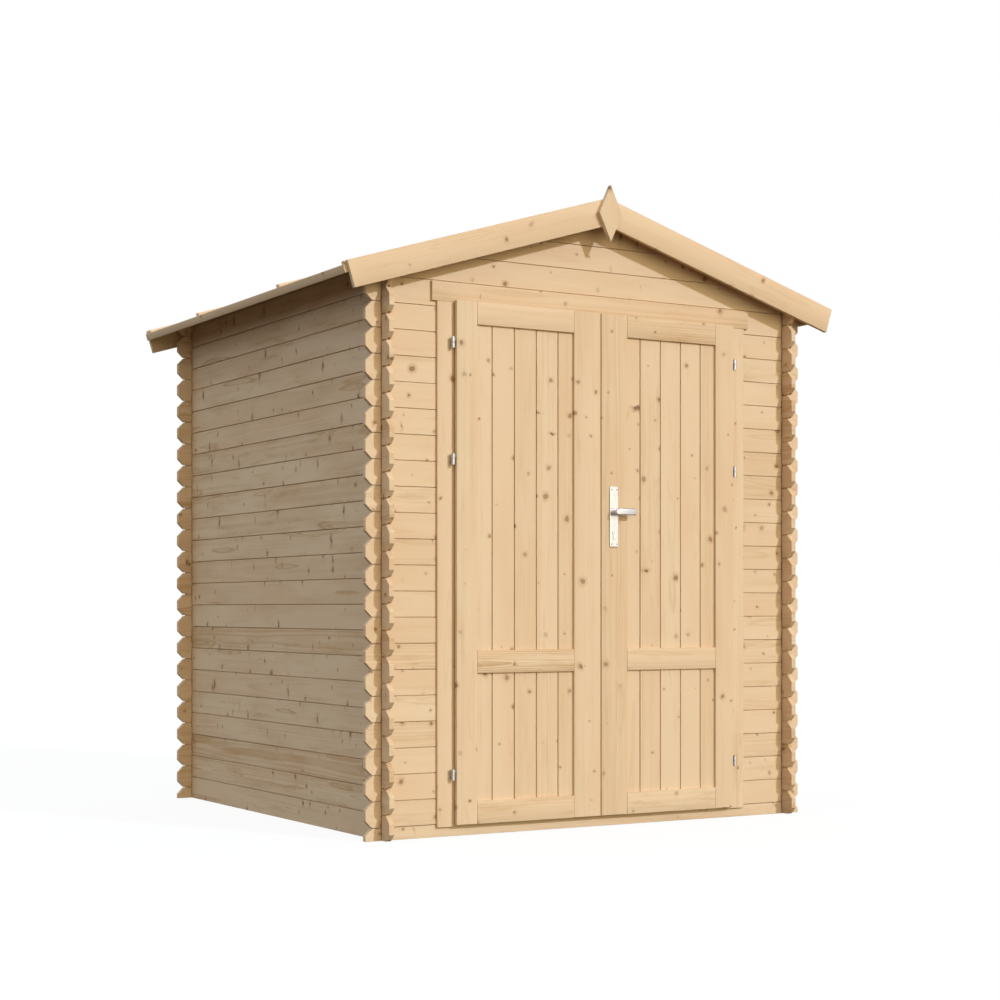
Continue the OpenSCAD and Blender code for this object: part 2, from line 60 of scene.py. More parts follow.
# %% Camera
VIEW_FROM = (-3.8535, -6.7043, 0.7935)
VIEW_ALONG = (0.50917, 0.86066, 0.0)
SENSOR_MM = 36.0
LENS_MM = 68.774
LENS_SHIFT_UP = 0.10868


def add_camera():
    """A level camera with a rising lens shift."""
    data = bpy.data.cameras.new("camera")
    data.sensor_width = SENSOR_MM
    data.lens = LENS_MM
    data.shift_y = LENS_SHIFT_UP
    camera = bpy.data.objects.new("camera", data)
    camera.location = VIEW_FROM
    camera.rotation_mode = "QUATERNION"
    camera.rotation_quaternion = Vector(VIEW_ALONG).to_track_quat("-Z", "Y")
    bpy.context.scene.collection.objects.link(camera)
    bpy.context.scene.camera = camera
    return camera


print("camera at", tuple(add_camera().location))

# %% [markdown]
# A finish is a graph of shader nodes. Written out as links, a graph is hard to read, so this
# small class lets Python write it as sums: a socket that is added, multiplied or taken from
# one adds its own Math node.

# %% A socket that does arithmetic
class Sock:
    """One output socket of a shader graph, on which + - * / make Math nodes."""

    def __init__(self, tree, socket=None):
        self.tree = tree
        self.socket = socket

    def fill(self, target, inputs):
        """Sets a node's sockets: another Sock is linked, and anything else is a plain value."""
        for name, value in inputs.items():
            if isinstance(value, Sock):
                self.tree.links.new(value.socket, target.inputs[name])
            else:
                target.inputs[name].default_value = value

    def node(self, kind, settings=None, inputs=None, output=0):
        """Adds a node: its settings first, then its sockets' values or links."""
        new = self.tree.nodes.new(kind)
        for name, value in (settings or {}).items():
            setattr(new, name, value)
        self.fill(new, inputs or {})
        return Sock(self.tree, new.outputs[output])

    def also(self, output):
        """Another output of the node that this socket belongs to."""
        return Sock(self.tree, self.socket.node.outputs[output])

    def maths(self, operation, a, b):
        """One Math node on two values."""
        return self.node("ShaderNodeMath", {"operation": operation}, {0: a, 1: b})

    def __add__(self, other):
        return self.maths("ADD", self, other)

    def __radd__(self, other):
        return self.maths("ADD", other, self)

    def __sub__(self, other):
        return self.maths("SUBTRACT", self, other)

    def __rsub__(self, other):
        return self.maths("SUBTRACT", other, self)

    def __mul__(self, other):
        return self.maths("MULTIPLY", self, other)

    def __rmul__(self, other):
        return self.maths("MULTIPLY", other, self)

    def __truediv__(self, other):
        return self.maths("DIVIDE", self, other)

    def rise(self, low, high):
        """0 below low, 1 above high, and a smooth step between them."""
        ends = {"Value": self, "From Min": low, "From Max": high}
        return self.node("ShaderNodeMapRange", {"interpolation_type": "SMOOTHSTEP"}, ends)

    def band(self, low, full, falls, high):
        """A rise from low to full, times the opposite of a rise from falls to high."""
        return self.rise(low, full) * (1.0 - self.rise(falls, high))

    def vector(self, x, y, z):
        """Three values as one vector."""
        return self.node("ShaderNodeCombineXYZ", None, {0: x, 1: y, 2: z})

    def split(self):
        """The x, y and z of this vector."""
        x = self.node("ShaderNodeSeparateXYZ", None, {0: self})
        return x, x.also("Y"), x.also("Z")

    def noise(self, place, scale, detail):
        """Smooth noise from 0 to 1. Its Color output holds three more such noises."""
        inputs = {"Vector": place, "Scale": scale, "Detail": detail}
        return self.node("ShaderNodeTexNoise", None, inputs, "Fac")

    def stretched(self, place, rates, detail):
        """Noise on three values, each first multiplied by its own rate, in waves a metre."""
        return self.noise(self.vector(*(p * r for p, r in zip(place, rates))), 1.0, detail)

    def blend(self, share, a, b):
        """A colour that goes from a to b as share goes from 0 to 1."""
        return self.node("ShaderNodeMix", {"data_type": "RGBA"}, {0: share, 6: a, 7: b}, 2)


def new_finish(name):
    """A fresh material, its graph and its shader."""
    material = bpy.data.materials.new(name)
    material.use_nodes = True
    return material, Sock(material.node_tree), material.node_tree.nodes["Principled BSDF"]


print("shader sums are ready")

# %% [markdown]
# The key light comes from the right, high enough to throw the short shadows of the barge boards and
# corner ends. A lamp close by would make those shadows spread, so both lamps are far ones, whose
# light runs parallel. The second is broad and warm and shines from the front, which keeps the
# shadows open.

# %% Lamps
KEY_TRAVELS = (-0.386, 0.816, -0.429)
KEY_STRENGTH = 2.18
KEY_COLOUR = (0.70, 0.797, 1.0)
KEY_SPREAD = 1.5
FILL_TRAVELS = (-0.12, 0.98, -0.10)
FILL_STRENGTH = 1.265
FILL_COLOUR = (1.0, 0.893, 0.569)
FILL_SPREAD = 50.0


def add_lamp(name, travels, strength, colour, spread):
    """A far lamp. The wider its disc is spread, in degrees, the softer its shadows are."""
    data = bpy.data.lights.new(name, "SUN")
    data.energy = strength
    data.color = colour
    data.angle = math.radians(spread)
    lamp = bpy.data.objects.new(name, data)
    lamp.rotation_mode = "QUATERNION"
    lamp.rotation_quaternion = Vector(travels).to_track_quat("-Z", "Y")
    bpy.context.scene.collection.objects.link(lamp)
    print(name, "travels", travels)


add_lamp("key_light", KEY_TRAVELS, KEY_STRENGTH, KEY_COLOUR, KEY_SPREAD)
add_lamp("fill_light", FILL_TRAVELS, FILL_STRENGTH, FILL_COLOUR, FILL_SPREAD)

# %% [markdown]
# The rest of the light is a studio sky: cool at the back, pale in front and warm at the front right.
# Next to nothing comes from below, which leaves the eaves dark. A ring of area lamps could do the
# same, but a sky made of a few blends of the direction has no edges that show in the metal.

# %% Sky
SKY_COOL = (0.89, 1.03, 1.19, 1.0)
SKY_FRONT = (0.86, 0.84, 0.75, 1.0)
SKY_WARM = (0.58, 0.49, 0.28, 1.0)
SKY_BELOW = (0.08, 0.07, 0.05, 1.0)
STUDIO_WALLS = (0.97, 0.95, 0.92, 1.0)
STUDIO_LOW = (0.30, 0.26, 0.20, 1.0)
WHITE = (1.0, 1.0, 1.0, 1.0)
WARM_REACH = (0.0, 1.2)
FRONT_REACH = (-0.4, 0.6)
HORIZON = (-0.10, 0.12)
WALL_FOOT = (-0.6, -0.15)


def add_sky():
    """Three skies, told apart by the kind of ray: the camera sees plain white, gloss sees pale studio
    walls, and all other light comes from the tinted sky, which fades below the horizon."""
    world = bpy.data.worlds.new("studio")
    bpy.context.scene.world = world
    world.use_nodes = True
    graph = Sock(world.node_tree)
    right, back, up = graph.node("ShaderNodeTexCoord", None, None, "Generated").split()
    colour = graph.blend((0.0 - back).rise(*FRONT_REACH), SKY_COOL, SKY_FRONT)
    colour = graph.blend((right - back).rise(*WARM_REACH), colour, SKY_WARM)
    colour = graph.blend(up.rise(*HORIZON), SKY_BELOW, colour)
    walls = graph.blend(up.rise(*WALL_FOOT), STUDIO_LOW, STUDIO_WALLS)
    tinted, pale, plain = (graph.node("ShaderNodeBackground", None, {"Color": seen_colour})
                           for seen_colour in (colour, walls, WHITE))
    seen = graph.node("ShaderNodeLightPath", None, None, "Is Camera Ray")
    sky = graph.node("ShaderNodeMixShader", None, {0: seen.also("Is Glossy Ray"), 1: tinted, 2: pale})
    sky = graph.node("ShaderNodeMixShader", None, {0: seen, 1: sky, 2: plain})
    graph.fill(world.node_tree.nodes["World Output"], {"Surface": sky})
    bpy.context.scene.view_settings.view_transform = "Standard"
    print("the sky has", len(world.node_tree.nodes), "nodes")


add_sky()

# %% [markdown]
# The floor takes a faint shadow and gives no light back. A white floor under the lamps would light the
# eaves from below, so this one is dark, glows pale by itself, and isn't seen by the wood.

# %% Floor
FLOOR_HALF = 40.0
FLOOR_GREY = (0.10, 0.10, 0.10, 1.0)
FLOOR_GLOW = 0.90


def add_floor():
    """A flat square sheet at ground level."""
    h = FLOOR_HALF
    mesh = bpy.data.meshes.new("floor")
    mesh.from_pydata([(-h, -h, 0.0), (h, -h, 0.0), (h, h, 0.0), (-h, h, 0.0)], [], [(0, 1, 2, 3)])
    floor = bpy.data.objects.new("floor", mesh)
    bpy.context.scene.collection.objects.link(floor)
    material, graph, shader = new_finish("pale_floor")
    graph.fill(shader, {"Base Color": FLOOR_GREY, "Roughness": 1.0, "Specular IOR Level": 0.0,
                        "Emission Color": WHITE, "Emission Strength": FLOOR_GLOW})
    mesh.materials.append(material)
    floor.visible_diffuse = False
    floor.visible_glossy = False
    print("floor of", 2 * h, "m")


add_floor()

# %% [markdown]
# Knots are branches that the saw went through. Cut crosswise they are discs, and cut lengthwise they
# are dark spikes across the board. Each could be modelled or placed by hand, but a Voronoi texture
# scatters points by itself, and the distance to the nearest one draws both kinds: only the shape of
# the cells differs.

# %% Knots
CORE_EDGE = (0.55, 1.05)
HALO_EDGE = (0.6, 3.2)
LEAST_SIZE = 0.5
LEAST_STRENGTH = 0.3
SPIKE_CELL = (0.072, 0.17)
SPIKE_SIZE = 0.084
SMEAR_CELL = (0.06, 0.30)
SMEAR_SIZE = 0.085
SMEAR_SHARE = 0.6
DISC_CELL = (0.10, 0.10)
DISC_SIZE = 0.072
DRIFT_SCALE = 42.0
SPIKE_DRIFT = (0.030, 0.024)
DISC_DRIFT = (0.018, 0.014)


def knots(graph, along, across, cell, present, size):
    """Scattered knots: the distance to the nearest point of a random set, in units of a cell whose
    sides along and across shape the knot. Each knot has its own size and strength. Returns the dark
    core and the brown halo, each 0 to 1, and the distance in knot radii."""
    place = graph.vector(along / cell[0], across / cell[1], 0.0)
    flat = {"voronoi_dimensions": "2D"}
    spots = graph.node("ShaderNodeTexVoronoi", flat, {"Vector": place, "Scale": 1.0}, "Distance")
    chance = graph.node("ShaderNodeSeparateColor", None, {0: spots.also("Color")})
    grown = chance.also("Green")
    near = spots / (grown * grown * size + size * LEAST_SIZE)
    strength = chance.also("Blue") * (1.0 - LEAST_STRENGTH) + LEAST_STRENGTH
    strength = chance.rise(1.0 - present, 1.01 - present) * strength
    core = (1.0 - near.rise(*CORE_EDGE)) * strength
    halo = (1.0 - near.rise(*HALO_EDGE)) * strength
    return core, halo, near


def all_knots(graph, grain, cut, spikes, rounds):
    """Spikes, the pale smears beside them, and discs, on a place that drifts with noise, so that no
    outline is a clean ellipse. Returns core, halo, the distance from a disc, and the drifted place."""
    along, across, _ = grain.split()
    drift = graph.noise(grain, DRIFT_SCALE, 2.5).also("Color")
    drift = graph.node("ShaderNodeSeparateColor", None, {0: drift})
    sideways = drift.also("Green")
    bent_along = along + drift * SPIKE_DRIFT[0]
    bent_across = across + cut + sideways * SPIKE_DRIFT[1]
    spike, spike_halo, _ = knots(graph, bent_along, bent_across, SPIKE_CELL, spikes, SPIKE_SIZE)
    smear, _, _ = knots(graph, bent_along + 3.0, bent_across, SMEAR_CELL, spikes * SMEAR_SHARE, SMEAR_SIZE)
    disc_along = along + drift * DISC_DRIFT[0] + 7.0
    disc_across = across + cut + sideways * DISC_DRIFT[1]
    disc, disc_halo, disc_near = knots(graph, disc_along, disc_across, DISC_CELL, rounds, DISC_SIZE)
    core = graph.maths("MAXIMUM", spike, disc)
    halo = graph.maths("MAXIMUM", graph.maths("MAXIMUM", spike_halo, disc_halo), smear * 0.8)
    return core, halo, disc_near, bent_along, bent_across


print("knots lie in cells of", SPIKE_CELL, "and", DISC_CELL, "m")

# %% [markdown]
# A plank is a slice of a trunk, so its grain isn't painted on: the shader works out how far each
# point lies from the trunk's middle, and the growth rings follow from that distance. Faces then show
# long flames, and sawn ends show arcs. Every plank carries two attributes for this: "grain" is the
# point's place along, across and through the plank, and "plank" holds three random numbers, which
# choose where in the trunk it was cut and how dark it is.

# %% Growth rings and heart figures
TRUNK_SIDE = (-0.04, 0.13)
TRUNK_DEEP = (0.012, 0.112)
YEAR_WIDTH = (0.004, 0.008)
RING_WANDER = 0.024
RING_TAPER = 0.0022
KNOT_SWELL = 0.005
WANDER_RATES = (0.9, 5.0, 5.0)
HEART_DARK = 0.18
RIM_DARK = 0.40


def between(chance, limits):
    """A random value from 0 to 1, stretched to lie between two limits."""
    return chance * (limits[1] - limits[0]) + limits[0]


def late_wood(graph, inside, cut, depth, shade, halo):
    """Rings: the distance from the trunk's middle, which wanders with noise and swells round knots,
    divided by the width of a year. Within each year a slow rise and a quick fall, from 0 to 1."""
    along, across, through = inside
    side = across - between(cut, TRUNK_SIDE)
    deep = through + between(depth, TRUNK_DEEP)
    radius = graph.node("ShaderNodeMath", {"operation": "SQRT"}, {0: side * side + deep * deep})
    wander = graph.stretched(inside, WANDER_RATES, 2.0)
    years = radius + wander * RING_WANDER + along * RING_TAPER + halo * KNOT_SWELL
    years = years / between(shade, YEAR_WIDTH)
    year = graph.node("ShaderNodeMath", {"operation": "FRACT"}, {0: years})
    return year.band(0.25, 0.92, 0.92, 1.0)


def heart_figure(graph, along, across, cut, depth):
    """Long islands where the saw just touched a ring: slow noise above a level, with two dark rims."""
    slow = graph.vector(along * 1.5 + 9.0, across * 17.0 + cut * 9.0, depth * 5.0)
    level = graph.noise(slow, 1.0, 0.8)
    rims = level.band(0.660, 0.675, 0.685, 0.700) + level.band(0.725, 0.740, 0.745, 0.760)
    return level.rise(0.665, 0.685) * HEART_DARK + rims * RIM_DARK


print("a year is between", YEAR_WIDTH[0], "and", YEAR_WIDTH[1], "m wide")

# %% [markdown]
# The finish puts these together. A photograph of wood would repeat on every board and stop at each
# edge, but here colour, roughness and bump all follow one darkness, so a line of late wood is darker,
# duller and slightly raised at once, and every plank differs.

# %% Spruce finish
PALE_WOOD = (0.720, 0.540, 0.358, 1.0)
LATE_WOOD = (0.520, 0.325, 0.165, 1.0)
ROSE_WOOD = (0.680, 0.450, 0.275, 1.0)
HALO_WOOD = (0.430, 0.235, 0.115, 1.0)
KNOT_WOOD = (0.120, 0.055, 0.025, 1.0)
STREAK_RATES = (0.9, 55.0, 55.0)
WISP_RATES = (5.0, 34.0, 34.0)
FIBRE_RATES = (22.0, 420.0, 420.0)
CLOUD_RATES = (1.7, 7.0, 9.0)
DASH_RATES = (8.0, 150.0, 40.0)
LINE_DARK = 0.18
STREAK_DARK = 0.26
WISP_DARK = 0.30
FIBRE_DARK = 0.12
PLANK_DARK = 0.30
WOOD_SHINE = 0.12
FLAT_CUT = (0.33, 0.42, 0.60, 0.69)
KNOT_RINGS = 15.0


def spruce(name, spikes, rounds, knot_share, figure, mottle):
    """Planed spruce. spikes and rounds are the shares of places that hold a knot cut lengthwise or
    crosswise, knot_share is how dark knots are, figure how strongly lines are drawn, and mottle how
    much the tone changes along a plank. Darkness is the sum of all marks."""
    material, graph, shader = new_finish(name)
    grain = graph.node("ShaderNodeAttribute", {"attribute_name": "grain"}, None, "Vector")
    plank = graph.node("ShaderNodeAttribute", {"attribute_name": "plank"}, None, "Vector")
    along, across, through = grain.split()
    cut, depth, shade = plank.split()
    core, halo, disc_near, bent_along, bent_across = all_knots(graph, grain, cut, spikes, rounds)
    late = late_wood(graph, (along, across, through), cut, depth, shade, halo)
    streak = graph.stretched((along, across, through), STREAK_RATES, 4.0)
    wisp = graph.stretched((bent_along, bent_across, through), WISP_RATES, 4.0)
    fibre = graph.stretched((along, across, through), FIBRE_RATES, 2.0)
    cloud = graph.stretched((along, across, depth), CLOUD_RATES, 2.0)
    dash = graph.stretched((along, across, depth), DASH_RATES, 2.0)
    patch = graph.noise(graph.vector(along * 2.6, across * 12.0, depth * 7.0 + cut * 3.0), 1.0, 3.0)

    lines = late * (cloud.rise(0.35, 0.7) * LINE_DARK + cut.band(*FLAT_CUT) * LINE_DARK + 0.06)
    drawn = lines + streak.rise(0.40, 0.80) * STREAK_DARK + wisp.rise(0.48, 0.78) * WISP_DARK
    plainness = 1.6 - depth * 1.3
    marks = heart_figure(graph, along, across, cut, depth) * mottle
    marks = marks + dash.rise(0.70, 0.76) * (spikes * 1.2 + 0.1)
    darkness = drawn * plainness * figure + marks + (patch - 0.5) * mottle
    darkness = darkness + fibre * FIBRE_DARK + (shade - 0.6) * PLANK_DARK
    colour = graph.blend(darkness, PALE_WOOD, LATE_WOOD)
    colour = graph.blend(cloud.rise(0.40, 0.75) * 0.40 + depth * 0.25, colour, ROSE_WOOD)
    colour = graph.blend(halo * halo * 0.75 * knot_share, colour, HALO_WOOD)
    rings = graph.node("ShaderNodeMath", {"operation": "SINE"}, {0: disc_near * KNOT_RINGS})
    knot = graph.blend(disc_near.rise(0.40, 0.75) * 0.4 + rings * 0.15 + 0.45, HALO_WOOD, KNOT_WOOD)
    colour = graph.blend(core * knot_share, colour, knot)
    height = late * 0.25 + fibre * 0.6 + streak * 0.3 + core * 0.5
    bump = graph.node("ShaderNodeBump", None, {"Strength": 0.3, "Distance": 0.0005, "Height": height})
    graph.fill(shader, {"Base Color": colour, "Roughness": fibre * 0.16 + 0.54 - core * 0.12,
                        "Normal": bump, "Specular IOR Level": WOOD_SHINE})
    print(name, "has", len(material.node_tree.nodes), "nodes")
    return material


WALL_WOOD = spruce("spruce_side", spikes=0.42, rounds=0.28, knot_share=1.0, figure=1.5, mottle=1.4)
FRONT_WOOD = spruce("spruce_front", spikes=0.04, rounds=0.70, knot_share=0.90, figure=0.72, mottle=0.5)
TRIM_WOOD = spruce("spruce_trim", spikes=0.04, rounds=0.42, knot_share=0.85, figure=0.8, mottle=0.4)
DOOR_WOOD = spruce("spruce_door", spikes=0.03, rounds=0.48, knot_share=0.88, figure=0.8, mottle=0.4)
RAIL_WOOD = spruce("spruce_rail", spikes=0.04, rounds=0.36, knot_share=0.85, figure=1.5, mottle=0.5)
ROOF_WOOD = spruce("spruce_roof", spikes=0.20, rounds=0.30, knot_share=0.80, figure=0.9, mottle=0.6)

# %% [markdown]
# A plank is a profile carried along a straight path. The path has stations, and at each station
# the profile may be clipped to a lower and an upper limit: that one rule makes the bevelled ends,
# the notches of the corner laps and the slanting tops of the gable boards. Two stations at the
# same place make a square step. Cutting a box with other boxes would give the same solids, but it
# leaves ragged faces, and the grain would have to be found again.

# %% Carry a profile along a plank
FREE = 9.0


def carry(profile, along, low=-FREE, high=FREE, inset=0.0):
    """Points (station, profile point, 3) of a plank in its own frame: along, through, across. At
    each station across is the profile's height clipped to [low, high], and both faces are drawn
    in by inset."""
    along = np.asarray(along, float)
    shape = (len(along), len(profile))
    limits = [np.broadcast_to(np.asarray(v, float), along.shape)[:, None] for v in (low, high, inset)]
    low, high, inset = limits
    thick = profile[:, 0].max()
    through = np.clip(np.broadcast_to(profile[:, 0], shape), inset, thick - inset)
    across = np.clip(np.broadcast_to(profile[:, 1], shape), low, high)
    run = np.broadcast_to(along[:, None], shape)
    return np.stack([run, through, across], axis=-1)


def as_wood(points):
    """A plank's points in the order of its wood: along, across, through."""
    return points[..., [0, 2, 1]]


def loft_faces(stations, points, start):
    """Quads between neighbouring stations of a closed profile, and one face on each end."""
    i, j = np.meshgrid(np.arange(stations - 1), np.arange(points), indexing="ij")
    k = (j + 1) % points
    quads = np.stack([i * points + j, i * points + k, (i + 1) * points + k, (i + 1) * points + j], -1)
    last = start + (stations - 1) * points
    first_end = np.arange(start + points - 1, start - 1, -1).tolist()
    last_end = np.arange(last, last + points).tolist()
    return (quads.reshape(-1, 4) + start).tolist() + [first_end, last_end]


print("a profile of 4 points on 3 stations has", len(loft_faces(3, 4, 0)), "faces")

# %% [markdown]
# All planks of one piece go into one mesh, because a wall has dozens of them. Each plank still gets
# its own random numbers and its own stretch of trunk, so no two look alike. The mesh is closed and
# its faces are turned outwards before it rides on its body.

# %% Make a piece of planks
SEED = 20
RANDOM = np.random.default_rng(SEED)
TRUNK_REACH = 40.0
MERGE = 1e-6
WOOD_SHARP = 35.0


def close_mesh(mesh, sharp):
    """Merges points that coincide, drops faces without area, turns faces outwards, and smooths the
    edges that bend by less than sharp degrees."""
    shape = bmesh.new()
    shape.from_mesh(mesh)
    bmesh.ops.remove_doubles(shape, verts=shape.verts, dist=MERGE)
    bmesh.ops.dissolve_degenerate(shape, edges=shape.edges, dist=MERGE)
    bmesh.ops.recalc_face_normals(shape, faces=shape.faces)
    shape.to_mesh(mesh)
    shape.free()
    mesh.shade_smooth()
    mesh.set_sharp_from_angle(angle=math.radians(sharp))


def add_piece(name, lofts, finish, body, slot, nodes=(), sharp=WOOD_SHARP):
    """One mesh from several lofts. Each loft is (its points in the frame, its points as wood)."""
    sizes = [place.shape[0] * place.shape[1] for place, wood in lofts]
    starts = np.concatenate([[0], np.cumsum(sizes)])
    points = np.concatenate([place.reshape(-1, 3) for place, wood in lofts])
    wood = np.concatenate([wood.reshape(-1, 3) for place, wood in lofts])
    chance = np.repeat(RANDOM.random((len(lofts), 3)), sizes, axis=0)
    faces = []
    for (place, _), start in zip(lofts, starts):
        faces += loft_faces(place.shape[0], place.shape[1], int(start))
    mesh = bpy.data.meshes.new(name)
    mesh.from_pydata(points, [], faces)
    offset = np.repeat(RANDOM.random((len(lofts), 1)) * TRUNK_REACH, sizes, axis=0)
    wood = wood + offset * np.array([1.0, 0.0, 0.0])
    for title, values in (("grain", wood), ("plank", chance)):
        layer = mesh.attributes.new(title, "FLOAT_VECTOR", "POINT")
        layer.data.foreach_set("vector", values.astype(np.float32).ravel())
    close_mesh(mesh, sharp)
    mesh.materials.append(finish)
    piece = bpy.data.objects.new(name, mesh)
    bpy.context.scene.collection.objects.link(piece)
    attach(piece, body)
    if nodes:
        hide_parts(*nodes)
    print(f"{name}: {len(lofts)} lofts, {len(mesh.polygons)} faces")


def corners(node):
    """A node's lowest and highest corner, as arrays."""
    return [np.array(corner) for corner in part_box(node)]


print("random numbers start from seed", SEED)

# %% [markdown]
# The walls. Every board has a tongue on top, a groove underneath and small bevels that draw the
# dark joint lines. Front and back start with a half board, so their courses lie half a board off
# those of the sides, and at each corner a board is notched a quarter of its height above and
# below to let the crossing boards through. The outer ends are cut to blunt points.

# %% Board measures
BOARD_H = 0.090
BOARD_T = 0.019
TONGUE_W = 0.006
TONGUE_H = 0.006
GROOVE_PLAY = 0.0004
JOINT = 0.0020
BEVEL = 0.0010
SIDE_COURSES = 22
HALF = BOARD_H / 2
SIDE_H = SIDE_COURSES * BOARD_H
wall_low, wall_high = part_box("left_wall")
WALL_X = -wall_low.x
END_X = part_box("back_wall")[1].x
END_OVER = END_X - WALL_X
WALL_Y = wall_high.y - END_OVER


def tongue_profile(t, h, bevel=BEVEL, groove=True, tongue=True, seat=0.5, joint=JOINT):
    """Closed outline of a board: (through, across) points, outer face at through = 0. Bevels cut
    the four corners, the groove goes in at the bottom and the tongue stands up from the top, at
    the share of the thickness that seat gives. joint is the gap left to the next board."""
    top = h - joint
    mid = t * seat
    points = [(bevel, 0.0), (0.0, bevel), (0.0, top - bevel), (bevel, top)]
    if tongue:
        half, tip = TONGUE_W / 2, top + TONGUE_H
        points += [(mid - half, top), (mid - half, tip), (mid + half, tip), (mid + half, top)]
    points += [(t - bevel, top), (t, top - bevel), (t, bevel), (t - bevel, 0.0)]
    if groove:
        wide, deep = TONGUE_W / 2 + GROOVE_PLAY, TONGUE_H + GROOVE_PLAY
        points += [(mid + wide, 0.0), (mid + wide, deep), (mid - wide, deep), (mid - wide, 0.0)]
    return np.array(points)


print(f"walls {2 * WALL_X:.3f} by {2 * WALL_Y:.3f}, side walls {SIDE_H:.3f} high")

# %% [markdown]
# The lapped end is the shed's own joint. Its shape along the board is a short list of stations, with
# the lowest and highest point that is left at each. A little play round the lap and a tongue that
# stops short leave the dark lines and small holes that show between real board ends.

# %% Lapped ends
LAP = BOARD_H / 4
LAP_PLAY = 0.0022
LAP_INSET = 0.0036
TONGUE_STOP = 0.008
END_GAP = 0.0012
END_BEVEL = 0.025


def lapped_end(start, cross, h, bottom=False, steps=6, joint=JOINT):
    """Stations from start out to a board's end: along, low, high and inset. The crossing wall's outer
    face is at cross, and there the board is thinned a little, which leaves a dark line round the lap.
    The tongue stops short of the end, which is cut back by END_BEVEL above and below, or above only on
    a bottom board, so that the open groove shows as a small hole between two ends."""
    inner = cross - BOARD_T - LAP_PLAY
    outer = cross + LAP_PLAY
    reach = cross + END_OVER
    bevel = reach - END_BEVEL
    stop = bevel - TONGUE_STOP
    groove = TONGUE_H + GROOVE_PLAY
    tip, top = h + TONGUE_H, h - joint
    under = 0.0 if bottom else 1.0
    foot = under * END_GAP
    lap = LAP + LAP_PLAY
    ends = np.array([
        (inner, under * lap, h - lap, LAP_INSET),
        (outer, under * lap, h - lap, LAP_INSET),
        (outer, foot, tip, 0.0),
        (stop, foot, tip, 0.0),
        (stop, foot, top, 0.0),
        (bevel, foot, top, 0.0),
        (bevel + groove, under * groove, top - groove, 0.0),
        (reach, under * END_BEVEL, top - END_BEVEL, 0.0)])
    run = np.linspace(start, inner, steps)
    body = np.stack([run, 0 * run, 0 * run + tip, 0 * run], axis=-1)
    return np.concatenate([body, ends]).T


def both_ends(*rows):
    """The same stations on the other side of the middle too: along changes sign, the rest repeats."""
    signs = [-1.0] + [1.0] * (len(rows) - 1)
    return [np.concatenate([sign * row[::-1], row[1:]]) for sign, row in zip(signs, rows)]


print("a lapped end has", lapped_end(0.0, WALL_X, BOARD_H).shape[1], "stations")

# %% [markdown]
# A side wall is 22 full courses from the ground up. Perfectly flat boards look drawn, so each one
# is set a fraction of a millimetre in or out, with a slow bow along its length.

# %% Side walls
SIDE_JOINT = 0.0028
BOARD_BOW = 0.0003
BOW_TURN = 6.28
BOW_RATE = (1.5, 2.0)
LEFT = ((0, 1, 0), (1, 0, 0), (0, 0, 1))
RIGHT = ((0, 1, 0), (-1, 0, 0), (0, 0, 1))


def settle(points, amount=BOARD_BOW):
    """A board's own slight bow and set-back: a slow wave through its thickness."""
    phase, rate, back = RANDOM.random(3) * (BOW_TURN, BOW_RATE[1], 1.0)
    wave = np.sin(points[..., 0] * (BOW_RATE[0] + rate) + phase) * amount
    moved = points.copy()
    moved[..., 1] += wave + (back - 0.5) * 2 * amount
    return moved


def wall_loft(points, place, turn):
    """A settled plank in the model, with its wood. turn gives the directions of along, through and
    across as rows, and place is where the plank's own zero goes."""
    return settle(points) @ np.asarray(turn, float) + np.asarray(place, float), as_wood(points)


def side_wall(side, sign, turn):
    """Courses with a lapped end on both sides. The top one has no tongue, because the roof lies on it."""
    along, low, high, inset = both_ends(*lapped_end(0.0, WALL_Y, BOARD_H, joint=SIDE_JOINT))
    profile = tongue_profile(BOARD_T, BOARD_H, joint=SIDE_JOINT)
    course = carry(profile, along, low, high, inset)
    lofts = [wall_loft(course, (sign * WALL_X, 0, row * BOARD_H), turn) for row in range(SIDE_COURSES - 1)]
    top_profile = tongue_profile(BOARD_T, BOARD_H, tongue=False)
    top = carry(top_profile, along, low, np.minimum(high, BOARD_H - SIDE_JOINT), inset)
    lofts.append(wall_loft(top, (sign * WALL_X, 0, (SIDE_COURSES - 1) * BOARD_H), turn))
    add_piece(f"{side}_wall_boards", lofts, WALL_WOOD, "root", "wall_boards", [f"{side}_wall"])


side_wall("left", -1, LEFT)
side_wall("right", 1, RIGHT)

# %% [markdown]
# The gables are the same boards, trimmed by the roof. A cutting plane could slice them, but the trim
# is only one more upper limit: the roof line's height at each station, with stations added where
# that line meets a board's top.

# %% Gable boards
ROOF_PITCH = math.radians(17.0)
SLOPE = math.tan(ROOF_PITCH)
APEX = SIDE_H + WALL_X * SLOPE
PLAY = 0.0003
TOP_SHARE = 0.25
ROWS = int((APEX - HALF) / BOARD_H - TOP_SHARE) + 1
THIN_END = 0.001
BREAK_ROOM = 0.01


